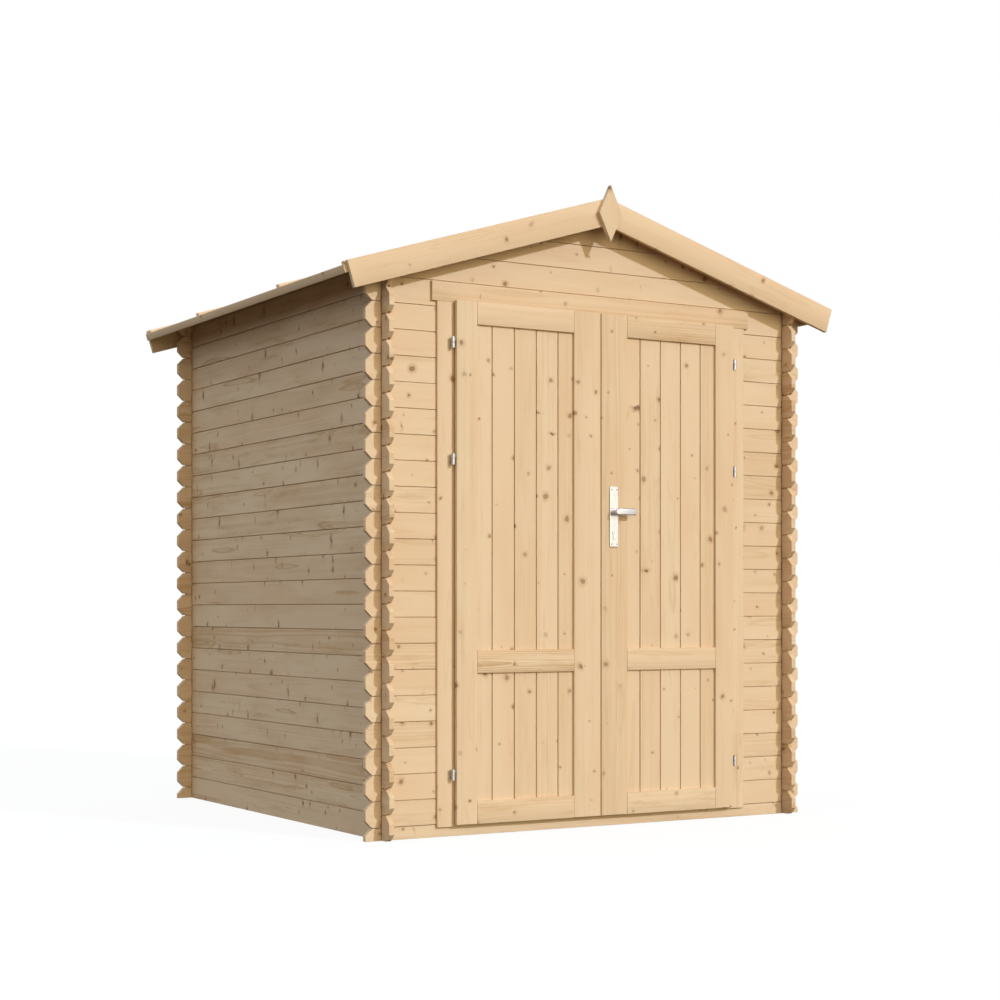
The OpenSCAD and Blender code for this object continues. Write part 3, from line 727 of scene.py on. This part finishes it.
def gable_board(row, turn, y):
    """A course that the roof trims: the eave course still laps the side walls, and the ones above
    it end where the roof line, APEX less SLOPE times along, meets their lower edge."""
    foot = HALF + row * BOARD_H
    roof = APEX - PLAY - foot
    last = row == ROWS - 1
    h = APEX - foot if last else BOARD_H
    if row < SIDE_COURSES:
        along, low, _, inset = lapped_end(0.0, WALL_X, h)
    else:
        along = np.array([0.0, (roof - THIN_END) / SLOPE])
        low, inset = np.zeros((2, 2))
    breaks = (roof - np.array([h + TONGUE_H, h - JOINT])) / SLOPE
    breaks = breaks[(breaks > BREAK_ROOM) & (breaks < along[-1] - BREAK_ROOM)]
    spots = np.searchsorted(along, breaks)
    along = np.insert(along, spots, breaks)
    low = np.insert(low, spots, 0.0)
    inset = np.insert(inset, spots, 0.0)
    high = np.minimum(h + TONGUE_H, roof - along * SLOPE)
    points = carry(tongue_profile(BOARD_T, h, tongue=not last), *both_ends(along, low, high, inset))
    return wall_loft(points, (0, y, foot), turn)


print(f"ridge at {APEX:.3f}, {ROWS} courses up to it")

# %% [markdown]
# Front and back share their kinds of course: the half board at the bottom, full courses, and the
# gable's. Beside the doorway the front has short ones, from the door post out to the corner.

# %% Front and back walls
DOOR_COURSES = 20
DOOR_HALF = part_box("front_wall_right")[0].x
FRONT = ((1, 0, 0), (0, 1, 0), (0, 0, 1))
BACK = ((1, 0, 0), (0, -1, 0), (0, 0, 1))


def cross_board(row, turn, y):
    """A full course of the front or back wall, row 0 standing on the half board."""
    points = carry(tongue_profile(BOARD_T, BOARD_H), *both_ends(*lapped_end(0.0, WALL_X, BOARD_H)))
    return wall_loft(points, (0, y, HALF + row * BOARD_H), turn)


def half_board(turn, y):
    """The bottom board of the front and back: half a course, flat underneath. Under the door it has
    no tongue."""
    stations = both_ends(*lapped_end(0.0, WALL_X, HALF, bottom=True))
    points = carry(tongue_profile(BOARD_T, HALF, groove=False, tongue=y > 0), *stations)
    return wall_loft(points, (0, y, 0), turn)


def short_boards(sign):
    """The courses beside the doorway, with one lapped end each."""
    points = carry(tongue_profile(BOARD_T, BOARD_H), *lapped_end(DOOR_HALF, WALL_X, BOARD_H, steps=3))
    turn = ((sign, 0, 0), (0, 1, 0), (0, 0, 1))
    return [wall_loft(points, (0, -WALL_Y, HALF + row * BOARD_H), turn) for row in range(DOOR_COURSES)]


def add_wall(name, lofts, finish, node):
    """One piece of wall boards."""
    add_piece(name, lofts, finish, "root", "wall_boards", [node])


top_rows = range(SIDE_COURSES - 1, ROWS)
back_rows = [half_board(BACK, WALL_Y)]
back_rows += [cross_board(row, BACK, WALL_Y) for row in range(SIDE_COURSES - 1)]
add_wall("back_wall_boards", back_rows, WALL_WOOD, "back_wall")
add_wall("back_gable_boards", [gable_board(row, BACK, WALL_Y) for row in top_rows], WALL_WOOD, "back_gable")
front_top = [cross_board(DOOR_COURSES, FRONT, -WALL_Y)]
front_top += [gable_board(row, FRONT, -WALL_Y) for row in top_rows]
add_wall("front_gable_boards", front_top, FRONT_WOOD, "front_gable")
add_wall("front_boards_left", short_boards(-1), FRONT_WOOD, "front_wall_left")
add_wall("front_boards_right", short_boards(1), FRONT_WOOD, "front_wall_right")
add_wall("threshold_board", [half_board(FRONT, -WALL_Y)], FRONT_WOOD, "front_threshold")

# %% [markdown]
# Squared timber: posts, header, strips, battens, stiles and rails. A planed bar isn't a sharp box.
# A Bevel modifier could round it, but a profile with small round corners does so at once: the first
# and last stations draw it in a little, so the end edges are eased too.

# %% Squared bars
EASE = 0.0012
ROUND_SHARE = 0.3
OTHER_AXES = ((1, 2), (0, 2), (1, 0))


def bar_profile(t, h, ease):
    """A rectangle t through and h across whose corners are eased by a short three-point round."""
    c = ease * ROUND_SHARE
    return np.array([
        (ease, 0), (c, c), (0, ease), (0, h - ease), (c, h - c), (ease, h),
        (t - ease, h), (t - c, h - c), (t, h - ease), (t, ease), (t - c, c), (t - ease, 0)])


def bar(length, t, h, ease=EASE, steps=5):
    """A bar from along = 0 to length. The profile on both end stations is drawn in by the ease."""
    profile = bar_profile(t, h, ease)
    along = np.concatenate([[0.0], np.linspace(ease, length - ease, steps), [length]])
    points = carry(profile, along)
    points[[0, -1], :, 1:] = np.clip(profile, ease, (t - ease, h - ease))
    return points


def block_bar(low, high, grain_axis, ease=EASE):
    """A bar between two corners, with its grain along axis 0, 1 or 2, and its wood."""
    low, high = np.asarray(low, float), np.asarray(high, float)
    size = high - low
    through, across = OTHER_AXES[grain_axis]
    points = bar(size[grain_axis], size[through], size[across], ease)
    place = np.empty_like(points)
    place[..., grain_axis] = points[..., 0] + low[grain_axis]
    place[..., through] = points[..., 1] + low[through]
    place[..., across] = points[..., 2] + low[across]
    return place, as_wood(points)


print("a bar has", bar(1.0, 0.02, 0.04).shape[:2], "stations and points")

# %% [markdown]
# The doorway. A door post is a core as thick as the wall between two cover flanges, and the wall
# boards run into the grooves between them. Three bars make it as a joiner would, and the grain runs
# up each one. The header covers the boards over the door.

# %% Door posts and header
POST_GROOVE = 0.027
CORE_EASE = 0.0002
HEADER_DROP = 0.0030
POST_TOP = HALF + DOOR_COURSES * BOARD_H - PLAY


def door_post(side):
    """Front flange, core and back flange, as three bars."""
    low, high = corners(f"{side}_jamb")
    face, rear = -WALL_Y - PLAY, BOARD_T - WALL_Y + PLAY
    core_low = np.array([low[0], face, HALF])
    core_high = np.array([high[0], rear, POST_TOP])
    if side == "left":
        core_low[0] += POST_GROOVE
    else:
        core_high[0] -= POST_GROOVE
    front = block_bar(low, (high[0], face, high[2]), 2)
    core = block_bar(core_low, core_high, 2, CORE_EASE)
    back = block_bar((low[0], rear, HALF), (high[0], high[1], POST_TOP), 2)
    add_piece(f"door_post_{side}", [front, core, back], TRIM_WOOD, "root", "trim_boards", [f"{side}_jamb"])


door_post("left")
door_post("right")
header_low, header_high = corners("door_header")
header = block_bar(header_low, header_high - (0.0, 0.0, HEADER_DROP), 0)
add_piece("header_board", [header], TRIM_WOOD, "root", "trim_boards", ["door_header"])

# %% [markdown]
# The roof. Its boards lie on a slope, so they are carried out flat and then laid on it: down runs
# from the ridge to the eave, and out stands off the slope. Turned objects would look the same, but a
# piece keeps its place in its mesh. At the ridge every piece is cut upright, which in the flat frame
# is a slant of the roof's own pitch.

# %% Roof boards
GABLE_OVER = 0.062
ROOF_Y = WALL_Y + GABLE_OVER
ROOF_T = 0.016
ROOF_BOARDS = 21
EAVE_OVER = 0.162
SLOPE_LEN = WALL_X / math.cos(ROOF_PITCH) + EAVE_OVER
MITRE = 0.0002


def on_slope(down, y, out, sign):
    """Points of the flat roof frame laid on a slope: x = down cos + out sin, z = out cos - down sin."""
    x = sign * (down * math.cos(ROOF_PITCH) + out * math.sin(ROOF_PITCH) + MITRE)
    z = APEX - down * math.sin(ROOF_PITCH) + out * math.cos(ROOF_PITCH)
    return np.stack([x, y, z], axis=-1)


def ridge_cut(points, out):
    """Slants the upper end of a plank that runs down the slope: its points move by -out * SLOPE."""
    upper = points[..., 0] < SLOPE_LEN / 2
    return points[..., 0] - np.where(upper, out * SLOPE, 0.0)


def roof_slope(side, sign):
    """Boards from the ridge to the eave, tongue and groove side by side along the ridge."""
    width = 2 * ROOF_Y / ROOF_BOARDS
    lofts = []
    for i in range(ROOF_BOARDS):
        profile = tongue_profile(ROOF_T, width, tongue=i < ROOF_BOARDS - 1)
        points = settle(carry(profile, np.linspace(0, SLOPE_LEN, 6)))
        out = points[..., 1]
        place = on_slope(ridge_cut(points, out), points[..., 2] + i * width - ROOF_Y, out, sign)
        lofts.append((place, as_wood(points)))
    add_piece(f"roof_boards_{side}", lofts, ROOF_WOOD, "root", "roof_boards", [f"roof_{side}"])


print(f"a slope is {SLOPE_LEN:.3f} long and {2 * ROOF_Y:.3f} wide")

# %% [markdown]
# A strip closes the ends of the roof boards along each eave, and four battens hold the roof down. They
# are bars laid on the slope, like the boards. The battens run on to the ends of the barge boards.

# %% Eave strips and battens
BARGE_OVER = 0.004
BARGE_LEN = SLOPE_LEN + BARGE_OVER
STRIP_T = 0.016
STRIP_H = 0.028
BATTEN_T = 0.012
BATTEN_W = 0.024
BATTEN_STEP = 0.537
BATTEN_INSET = 0.008


def add_trim(name, lofts, node, **more):
    """One piece of planed trim on the shed itself."""
    add_piece(name, lofts, TRIM_WOOD, "root", "trim_boards", [node], **more)


def eave_strip(side, sign):
    """A bar along the lower ends of the roof boards, flush with their upper faces."""
    points = bar(2 * ROOF_Y, STRIP_T, STRIP_H)
    out = points[..., 2] + ROOF_T - STRIP_H
    place = on_slope(points[..., 1] + SLOPE_LEN, points[..., 0] - ROOF_Y, out, sign)
    add_trim(f"eave_board_{side}", [(place, as_wood(points))], f"eave_strip_{side}")


def battens(side, sign):
    """Four bars down the slope: one near each gable, and one a step in from each of those."""
    end = ROOF_Y - BATTEN_INSET - BATTEN_W / 2
    lofts = []
    for y in (-end, BATTEN_STEP - end, end - BATTEN_STEP, end):
        points = bar(BARGE_LEN, BATTEN_T, BATTEN_W)
        out = points[..., 1] + ROOF_T
        place = on_slope(ridge_cut(points, out), points[..., 2] + y - BATTEN_W / 2, out, sign)
        lofts.append((place, as_wood(points)))
    add_trim(f"roof_battens_{side}", lofts, f"battens_{side}")


for side, sign in (("left", -1), ("right", 1)):
    roof_slope(side, sign)
    eave_strip(side, sign)
    battens(side, sign)

# %% [markdown]
# The ridge purlin is the beam from gable to gable that the upper ends of the roof boards rest on. Its
# top follows both slopes, so it isn't a box but a five-sided profile carried along the ridge.

# %% Ridge purlin
purlin_low, purlin_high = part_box("ridge_purlin")


def purlin():
    """The profile (x, z) with eased lower corners, carried along y. carry keeps through at 0 or above,
    so the piece is the half of the beam that lies at x > 0."""
    w, h = purlin_high.x, purlin_high.z - purlin_low.z
    shoulder = h - w * SLOPE
    e = EASE
    outline = [(-w + e, 0), (-w, e), (-w, shoulder), (0, h), (w, shoulder), (w, e), (w - e, 0)]
    points = carry(np.array(outline), np.linspace(purlin_low.y, purlin_high.y, 5))
    place = np.stack([points[..., 1], points[..., 0], points[..., 2] + purlin_low.z], axis=-1)
    return place, as_wood(points)


add_piece("ridge_beam", [purlin()], ROOF_WOOD, "root", "roof_boards", ["ridge_purlin"])

# %% [markdown]
# Barge boards close the gables, and a diamond covers the joint where they meet. Both are plain
# planed boards in front of the roof, so their eased edges catch the light. The diamond is flat, so
# its outline is carried through its thickness instead of along its length.

# %% Barge boards and diamonds
BARGE_H = 0.095
BARGE_TOP = ROOF_T + BATTEN_T
BARGE_EASE = 0.0015
DIAMOND_EASE = 0.0015
DIAMOND_DRAWN = 0.972
DIAMOND_SHARP = 20.0


def barge(end, side, sign):
    """A board that stands on edge along one slope, mitred upright at the ridge."""
    node = f"barge_{end}_{side}"
    low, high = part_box(node)
    points = bar(BARGE_LEN, high.y - low.y, BARGE_H, BARGE_EASE)
    out = points[..., 2] + BARGE_TOP - BARGE_H
    place = on_slope(ridge_cut(points, out), points[..., 1] + low.y, out, sign)
    add_trim(f"barge_board_{end}_{side}", [(place, as_wood(points))], node)


def diamond(end, outward):
    """Four-sided outline carried through its thickness, drawn in a little at the outer face."""
    low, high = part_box(f"finial_{end}")
    mid_z = (low.z + high.z) / 2
    half_w, half_h, t = high.x, (high.z - low.z) / 2, high.y - low.y
    outline = np.array([(half_w, 0), (0, half_h), (-half_w, 0), (0, -half_h)])
    depth = np.array([0.0, t - DIAMOND_EASE, t])
    flat = outline[None] * np.array([1.0, 1.0, DIAMOND_DRAWN])[:, None, None]
    start = high.y if outward < 0 else low.y
    y = np.broadcast_to((start + outward * depth)[:, None], flat.shape[:2])
    place = np.stack([flat[..., 0], y, flat[..., 1] + mid_z], axis=-1)
    wood = np.stack([flat[..., 1], flat[..., 0], np.broadcast_to(depth[:, None], y.shape)], axis=-1)
    add_trim(f"gable_diamond_{end}", [(place, wood)], f"finial_{end}", sharp=DIAMOND_SHARP)


for end, outward in (("front", -1), ("back", 1)):
    barge(end, "left", -1)
    barge(end, "right", 1)
    diamond(end, outward)

# %% [markdown]
# The door leaves. Upright boards with deep joints sit behind a frame of stiles and rails, which
# stands out in front of them and draws the shadow lines of the door. The boards use the wall boards'
# profile again, stood on end, with the tongue further back so that the joints look darker.

# %% Door boards
LEAF_BOARD_T = 0.014
LEAF_BOARD_W = 0.0915
FIRST_BOARD_W = 0.085
LEAF_BEVEL = 0.0010
LEAF_JOINT = 0.0036
LEAF_TONGUE = 0.68
LEAF_BOW = 0.0002


def leaf_boards(side, sign):
    """Upright boards from the meeting stile to the hinge stile, the last one cut to width."""
    node = f"leaf_boards_{side}"
    low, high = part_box(node)
    inner, outer = sorted((abs(low.x), abs(high.x)))
    edges = np.arange(inner + FIRST_BOARD_W, outer, LEAF_BOARD_W)
    edges = np.concatenate([[inner], edges, [outer]])
    upright = np.linspace(low.z, high.z, 6)
    lofts = []
    for i, (x0, x1) in enumerate(zip(edges[:-1], edges[1:])):
        more = i < len(edges) - 2
        profile = tongue_profile(LEAF_BOARD_T, x1 - x0, LEAF_BEVEL, i > 0, more, LEAF_TONGUE, LEAF_JOINT)
        points = settle(carry(profile, upright), LEAF_BOW)
        along, through, across = np.moveaxis(points, -1, 0)
        place = np.stack([sign * (across + x0), through + low.y, along], axis=-1)
        lofts.append((place, as_wood(points)))
    add_piece(f"door_boards_{side}", lofts, DOOR_WOOD, f"{side}_leaf", "door_boards", [node])


print("door boards are", LEAF_BOARD_W, "m wide")

# %% [markdown]
# The frame of a leaf is two stiles from top to bottom and three rails between them. They are bars
# with the grain along each, so the corners show where one piece ends and the next begins.

# %% Door frames
FRAME_EASE = 0.0016
SEAM_EASE = 0.001
RAIL_H = 0.080
MID_RAIL = 0.528


def stiles(side):
    """The stile that carries the hinges, and the one at the middle, which reaches SEAM_EASE further
    towards the other leaf than its solid does."""
    for part in ("hinge_stile", "meeting_stile"):
        node = f"{part}_{side}"
        low, high = corners(node)
        if part == "meeting_stile":
            low[0] -= SEAM_EASE * (low[0] > 0)
            high[0] += SEAM_EASE * (low[0] < 0)
        stile = block_bar(low, high, 2, FRAME_EASE)
        add_piece(f"{part}_wood_{side}", [stile], DOOR_WOOD, f"{side}_leaf", "door_frame", [node])


def rails(side):
    """Bottom, middle and top rail. The middle one lies in front of the boards."""
    node = f"rails_{side}"
    low, high = corners(node)
    panel_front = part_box(f"leaf_boards_{side}")[0].y
    backs = (high[1], panel_front, high[1])
    feet = (low[2], low[2] + MID_RAIL, high[2] - RAIL_H)
    lofts = [block_bar((low[0], low[1], foot), (high[0], back, foot + RAIL_H), 0, FRAME_EASE)
             for foot, back in zip(feet, backs)]
    add_piece(f"rail_wood_{side}", lofts, RAIL_WOOD, f"{side}_leaf", "door_frame", [node])


for side, sign in (("left", -1), ("right", 1)):
    leaf_boards(side, sign)
    stiles(side)
    rails(side)

# %% [markdown]
# Metal. The hinges are zinc-plated barrels and the handle is satin light metal, so both get a
# metallic finish. One even roughness would look like plastic, so it wanders a little, as handled
# metal's does, and fine scratches run up and down.

# %% Metal finishes
SCRATCH_RATE = 60.0
BLOTCH_SCALE = 55.0
DULL_SHARE = 0.80


def metal(name, colour, rough, brushed=900.0):
    """A metal whose roughness and fine scratches come from noise stretched along z. brushed is the
    number of scratches a metre."""
    material, graph, shader = new_finish(name)
    place = graph.node("ShaderNodeTexCoord", None, None, "Object")
    lines = graph.stretched(place.split(), (brushed, brushed, SCRATCH_RATE), 3.0)
    blotch = graph.noise(place, BLOTCH_SCALE, 3.0)
    dull = tuple(c * DULL_SHARE for c in colour) + (1.0,)
    tone = graph.blend(blotch.rise(0.4, 0.75) * 0.5 + lines * 0.2, colour + (1.0,), dull)
    bump = graph.node("ShaderNodeBump", None, {"Strength": 0.2, "Distance": 0.0001, "Height": lines})
    graph.fill(shader, {"Base Color": tone, "Roughness": lines * 0.12 + blotch * 0.10 + rough,
                        "Normal": bump, "Metallic": 1.0})
    print(name, "is ready")
    return material


ZINC = metal("zinc_plate", (0.46, 0.45, 0.46), 0.34)
# The bolts' darker zinc is painted shade: they stand in the shade between the barrel and the wood.
SHADED_BOLT_ZINC = metal("bolt_zinc_painted_shade", (0.30, 0.28, 0.25), 0.40)
SATIN = metal("satin_handle", (0.60, 0.58, 0.58), 0.14, 700.0)
STEEL = metal("lock_steel", (0.60, 0.60, 0.60), 0.20)
SCREW = metal("screw_heads", (0.12, 0.12, 0.12), 0.30)
# Near black: painted shade that stands in for the keyway's hole.
KEYWAY_SHADE = metal("keyway_painted_shade", (0.05, 0.05, 0.05), 0.5)

# %% [markdown]
# A drill-in hinge is two short barrels on one pin. The lower barrel is screwed into the door post by
# its bolt, the upper one into the leaf's edge, so the leaf lifts off. Barrels and bolts are turned
# parts: an outline of radius and height carried round an axis.

# %% Hinges
BARREL_R = 0.0065
BOLT_R = 0.003
HINGE_H = 0.040
HINGE_SPLIT = 0.00015
HINGE_HEIGHTS = (0.216, 1.314, 1.720)
CHAMFER = 0.0007
DOME = ((0.0, -0.0012), (-0.0006, -0.0004), (-0.002, 0.0))
METAL_SHARP = 30.0


def turned(outline, centre, axis=2, points=32):
    """Rings (station, point, 3): an outline of (radius, height) pairs turned about x, y or z."""
    radius, height = np.asarray(outline, float).T
    angle = np.linspace(0.0, 2.0 * np.pi, points, endpoint=False)
    rings = np.stack([np.outer(radius, np.cos(angle)), np.outer(radius, np.sin(angle)),
                      np.repeat(height[:, None], points, axis=1)], axis=-1)
    return np.roll(rings, axis - 2, axis=-1) + np.asarray(centre, float)


def rod(radius, start, end):
    """Outline of a rod with chamfered ends."""
    small = radius - CHAMFER
    return [(small, start), (radius, start + CHAMFER), (radius, end - CHAMFER), (small, end)]


def add_metal(name, stacks, finish, body, slot, nodes=()):
    """One piece from several closed stacks of rings."""
    lofts = [(stack, stack) for stack in stacks]
    add_piece(name, lofts, finish, body, slot, nodes, sharp=METAL_SHARP)


def hinges(side, sign):
    """Three hinges of one leaf, placed by the boxes of their two halves. The upper barrel ends in a
    flat dome, whose points are given from its upper rim."""
    leaf = f"{side}_leaf"
    low, high = corners(f"hinges_{side}_moving")
    leaf_edge, outer = sorted((abs(low[0]), abs(high[0])))
    x, y = sign * (outer - BARREL_R), low[1] + BARREL_R
    post_depth = corners(f"hinges_{side}_fixed")[1][1] - y
    start, end = sorted((0.0, sign * (leaf_edge - abs(x))))
    post = rod(BARREL_R, -HINGE_H / 2, -HINGE_SPLIT)
    cap = [(BARREL_R - CHAMFER, HINGE_SPLIT), (BARREL_R, HINGE_SPLIT + CHAMFER)]
    cap += [(BARREL_R + r, HINGE_H / 2 + z) for r, z in DOME]
    posts = [turned(post, (x, y, z)) for z in HINGE_HEIGHTS]
    caps = [turned(cap, (x, y, z)) for z in HINGE_HEIGHTS]
    post_bolts = [turned(rod(BOLT_R, 0.0, post_depth), (x, y, z - HINGE_H / 4), 1) for z in HINGE_HEIGHTS]
    leaf_bolts = [turned(rod(BOLT_R, start, end), (x, y, z + HINGE_H / 4), 0) for z in HINGE_HEIGHTS]
    add_metal(f"hinge_posts_{side}", posts, ZINC, "root", "hinge_steel", [f"hinges_{side}_fixed"])
    add_metal(f"hinge_caps_{side}", caps, ZINC, leaf, "hinge_steel", [f"hinges_{side}_moving"])
    # The bolts take the darker zinc, which is painted shade for the gap they stand in.
    add_metal(f"hinge_post_bolts_{side}", post_bolts, SHADED_BOLT_ZINC, "root", "hinge_steel")
    add_metal(f"hinge_leaf_bolts_{side}", leaf_bolts, SHADED_BOLT_ZINC, leaf, "hinge_steel")


hinges("left", -1)
hinges("right", 1)

# %% [markdown]
# The handle's tall plate lies on each side of the right leaf, held by four small screws. A box with a
# bevel would come close, but a ring with round corners, drawn in along a quarter round towards the
# face, gives the soft pressed edge of such plates.

# %% Handle plates
PLATE_EASE = 0.0016
PLATE_CORNER = 0.0032
SCREW_X = 0.0114
SCREW_IN = 0.0105
SCREW_HEAD = np.array([(0.0024, -0.001), (0.0024, 0.0001), (0.0018, 0.0005), (0.0011, 0.0005),
                       (0.0010, 0.0), (0.0002, 0.0)])


def rounded_ring(half_w, half_h, corner, points=6):
    """Points of a rectangle with round corners, counter-clockwise from its right side."""
    quarter = np.repeat(np.arange(4), points)
    turn = np.tile(np.linspace(0.0, np.pi / 2, points), 4) + quarter * np.pi / 2
    side = np.pi / 4 + quarter * np.pi / 2
    x = np.sign(np.cos(side)) * (half_w - corner) + corner * np.cos(turn)
    z = np.sign(np.sin(side)) * (half_h - corner) + corner * np.sin(turn)
    return np.stack([x, z], axis=-1)


def faced(rings, depth, back, outward):
    """Flat rings (station, point, 2) stood up facing -Y or +Y, each at its own depth."""
    y = np.broadcast_to((back + outward * np.asarray(depth))[:, None], rings.shape[:2])
    return np.stack([rings[..., 0], y, rings[..., 1]], axis=-1)


def plate(node, outward):
    """Rings drawn in along a quarter round at the plate's face, and four screw heads on it."""
    low, high = corners(node)
    mid, half = (low + high) / 2, (high - low) / 2
    back = high[1] if outward < 0 else low[1]
    thick = 2 * half[1]
    turn = np.linspace(0.0, np.pi / 2, 5)
    inset = np.concatenate([[0.0], PLATE_EASE * (1 - np.cos(turn)), [2 * PLATE_EASE]])
    depth = np.concatenate([[0.0], thick - PLATE_EASE + PLATE_EASE * np.sin(turn), [thick]])
    rings = np.stack([rounded_ring(half[0] - i, half[2] - i, PLATE_CORNER) for i in inset])
    head = SCREW_HEAD * (1, outward)
    places = [(x, z) for x in (-SCREW_X, SCREW_X) for z in (SCREW_IN - half[2], half[2] - SCREW_IN)]
    screws = [turned(head, (mid[0] + x, back + outward * thick, mid[2] + z), 1, 16) for x, z in places]
    return faced(rings + mid[[0, 2]], depth, back, outward), screws


print("a plate is held by 4 screws,", SCREW_IN, "m from its ends")

# %% [markdown]
# The lever is a flat bar on a round neck. It isn't a box either: its section is a rounded rectangle
# that grows out of a half disc at the neck and is drawn in again at the tip.

# %% Lever
GRIP_T = 0.014
GRIP_DRAW = 0.003
GRIP_CORNER = 0.0048
CORNER_SHARE = 0.9
TIP_R = 0.004
NECK_R = 0.009
FIRST_TURN = 0.06
TIP_STOP = 0.2


def lever(node, outward):
    """Rings along the grip: height and depth follow a quarter turn at the neck and one at the tip. The
    neck is a turned rod from the plate into the grip."""
    low, high = corners(node)
    half_h = (high[2] - low[2]) / 2
    axis_x, axis_z = low[0] + half_h, (low[2] + high[2]) / 2
    length = high[0] - axis_x
    near, far = (high[1], low[1]) if outward < 0 else (low[1], high[1])
    mid_y = far - outward * GRIP_T / 2
    turn = np.linspace(FIRST_TURN, np.pi / 2, 9)
    tip = np.linspace(0.0, np.pi / 2 - TIP_STOP, 5)
    run = np.concatenate([-half_h * np.cos(turn), length - TIP_R + TIP_R * np.sin(tip)])
    tall = np.concatenate([half_h * np.sin(turn), half_h - TIP_R * (1 - np.cos(tip))])
    deep = GRIP_T / 2 - GRIP_DRAW * (1 - np.concatenate([np.sin(turn), np.cos(tip)]))
    rings = np.stack([rounded_ring(d, h, min(GRIP_CORNER, CORNER_SHARE * h)) for d, h in zip(deep, tall)])
    x = np.broadcast_to((axis_x + run)[:, None], rings.shape[:2])
    grip = np.stack([x, rings[..., 0] + mid_y, rings[..., 1] + axis_z], axis=-1)
    neck = turned([(NECK_R, 0.0), (NECK_R, mid_y - near)], (axis_x, near, axis_z), axis=1)
    return [grip, neck]


for name, outward in (("outside", -1), ("inside", 1)):
    sheet, screws = plate(f"handle_plate_{name}", outward)
    grip_parts = lever(f"lever_{name}", outward)
    add_metal(f"plate_{name}", [sheet], SATIN, "right_leaf", "handle_metal", [f"handle_plate_{name}"])
    add_metal(f"plate_screws_{name}", screws, SCREW, "right_leaf", "handle_metal")
    add_metal(f"lever_{name}_bar", grip_parts, SATIN, "lever", "handle_metal", [f"lever_{name}"])

# %% [markdown]
# The lock cylinder goes right through the leaf under the lever. Its outline is a disc on a narrow web,
# which two arcs give. A thin near-black sheet on each face is painted shade, standing in for the keyway.

# %% Lock and spindle
WEB_R = 0.005
LOCK_EASE = 0.0005
LOCK_DRAWN = (0.88, 0.94, 1.0, 1.0, 0.94, 0.88)
KEYWAY_SHADE_SIZE = (0.0009, 0.0042, 0.0006)
KEYWAY_SHADE_DEPTH = (-0.0002, 0.0006)
SPINDLE_EASE = 0.0004


def lock():
    """Two arcs, a disc open at the bottom and the web's round foot, carried through the leaf and drawn
    in towards both faces. The slots are thin near-black rounded rectangles, painted shade for the keyway."""
    low, high = corners("lock_cylinder")
    r = (high[0] - low[0]) / 2
    x, z = low[0] + r, high[2] - r
    foot = low[2] - z + WEB_R
    open_angle = np.arcsin(WEB_R / r)
    disc = np.linspace(open_angle - np.pi / 2, 1.5 * np.pi - open_angle, 28)
    end = np.linspace(np.pi, 2 * np.pi, 12)
    outline = np.concatenate([np.stack([r * np.cos(disc), r * np.sin(disc)], -1),
                              np.stack([WEB_R * np.cos(end), foot + WEB_R * np.sin(end)], -1)])
    middle = outline.mean(axis=0)
    rings = middle + (outline - middle) * np.array(LOCK_DRAWN)[:, None, None] + (x, z)
    length = high[1] - low[1]
    depth = np.array([0.0, 0.0, LOCK_EASE, length - LOCK_EASE, length, length])
    # A thin near-black sheet on each face, which is painted shade for the keyway.
    slot = np.stack([rounded_ring(*KEYWAY_SHADE_SIZE) + (x, z)] * 2)
    keyway_shades = [faced(slot, KEYWAY_SHADE_DEPTH, y, way) for y, way in ((low[1], 1), (high[1], -1))]
    return faced(rings, depth, low[1], 1), keyway_shades


barrel, keyway_shades = lock()
spindle = block_bar(*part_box("lever_spindle"), 1, SPINDLE_EASE)
add_metal("lock_barrel", [barrel], STEEL, "right_leaf", "lock_steel", ["lock_cylinder"])
add_metal("lock_keyway_shades", keyway_shades, KEYWAY_SHADE, "right_leaf", "lock_steel")
add_piece("spindle_bar", [spindle], STEEL, "lever", "lock_steel", ["lever_spindle"])
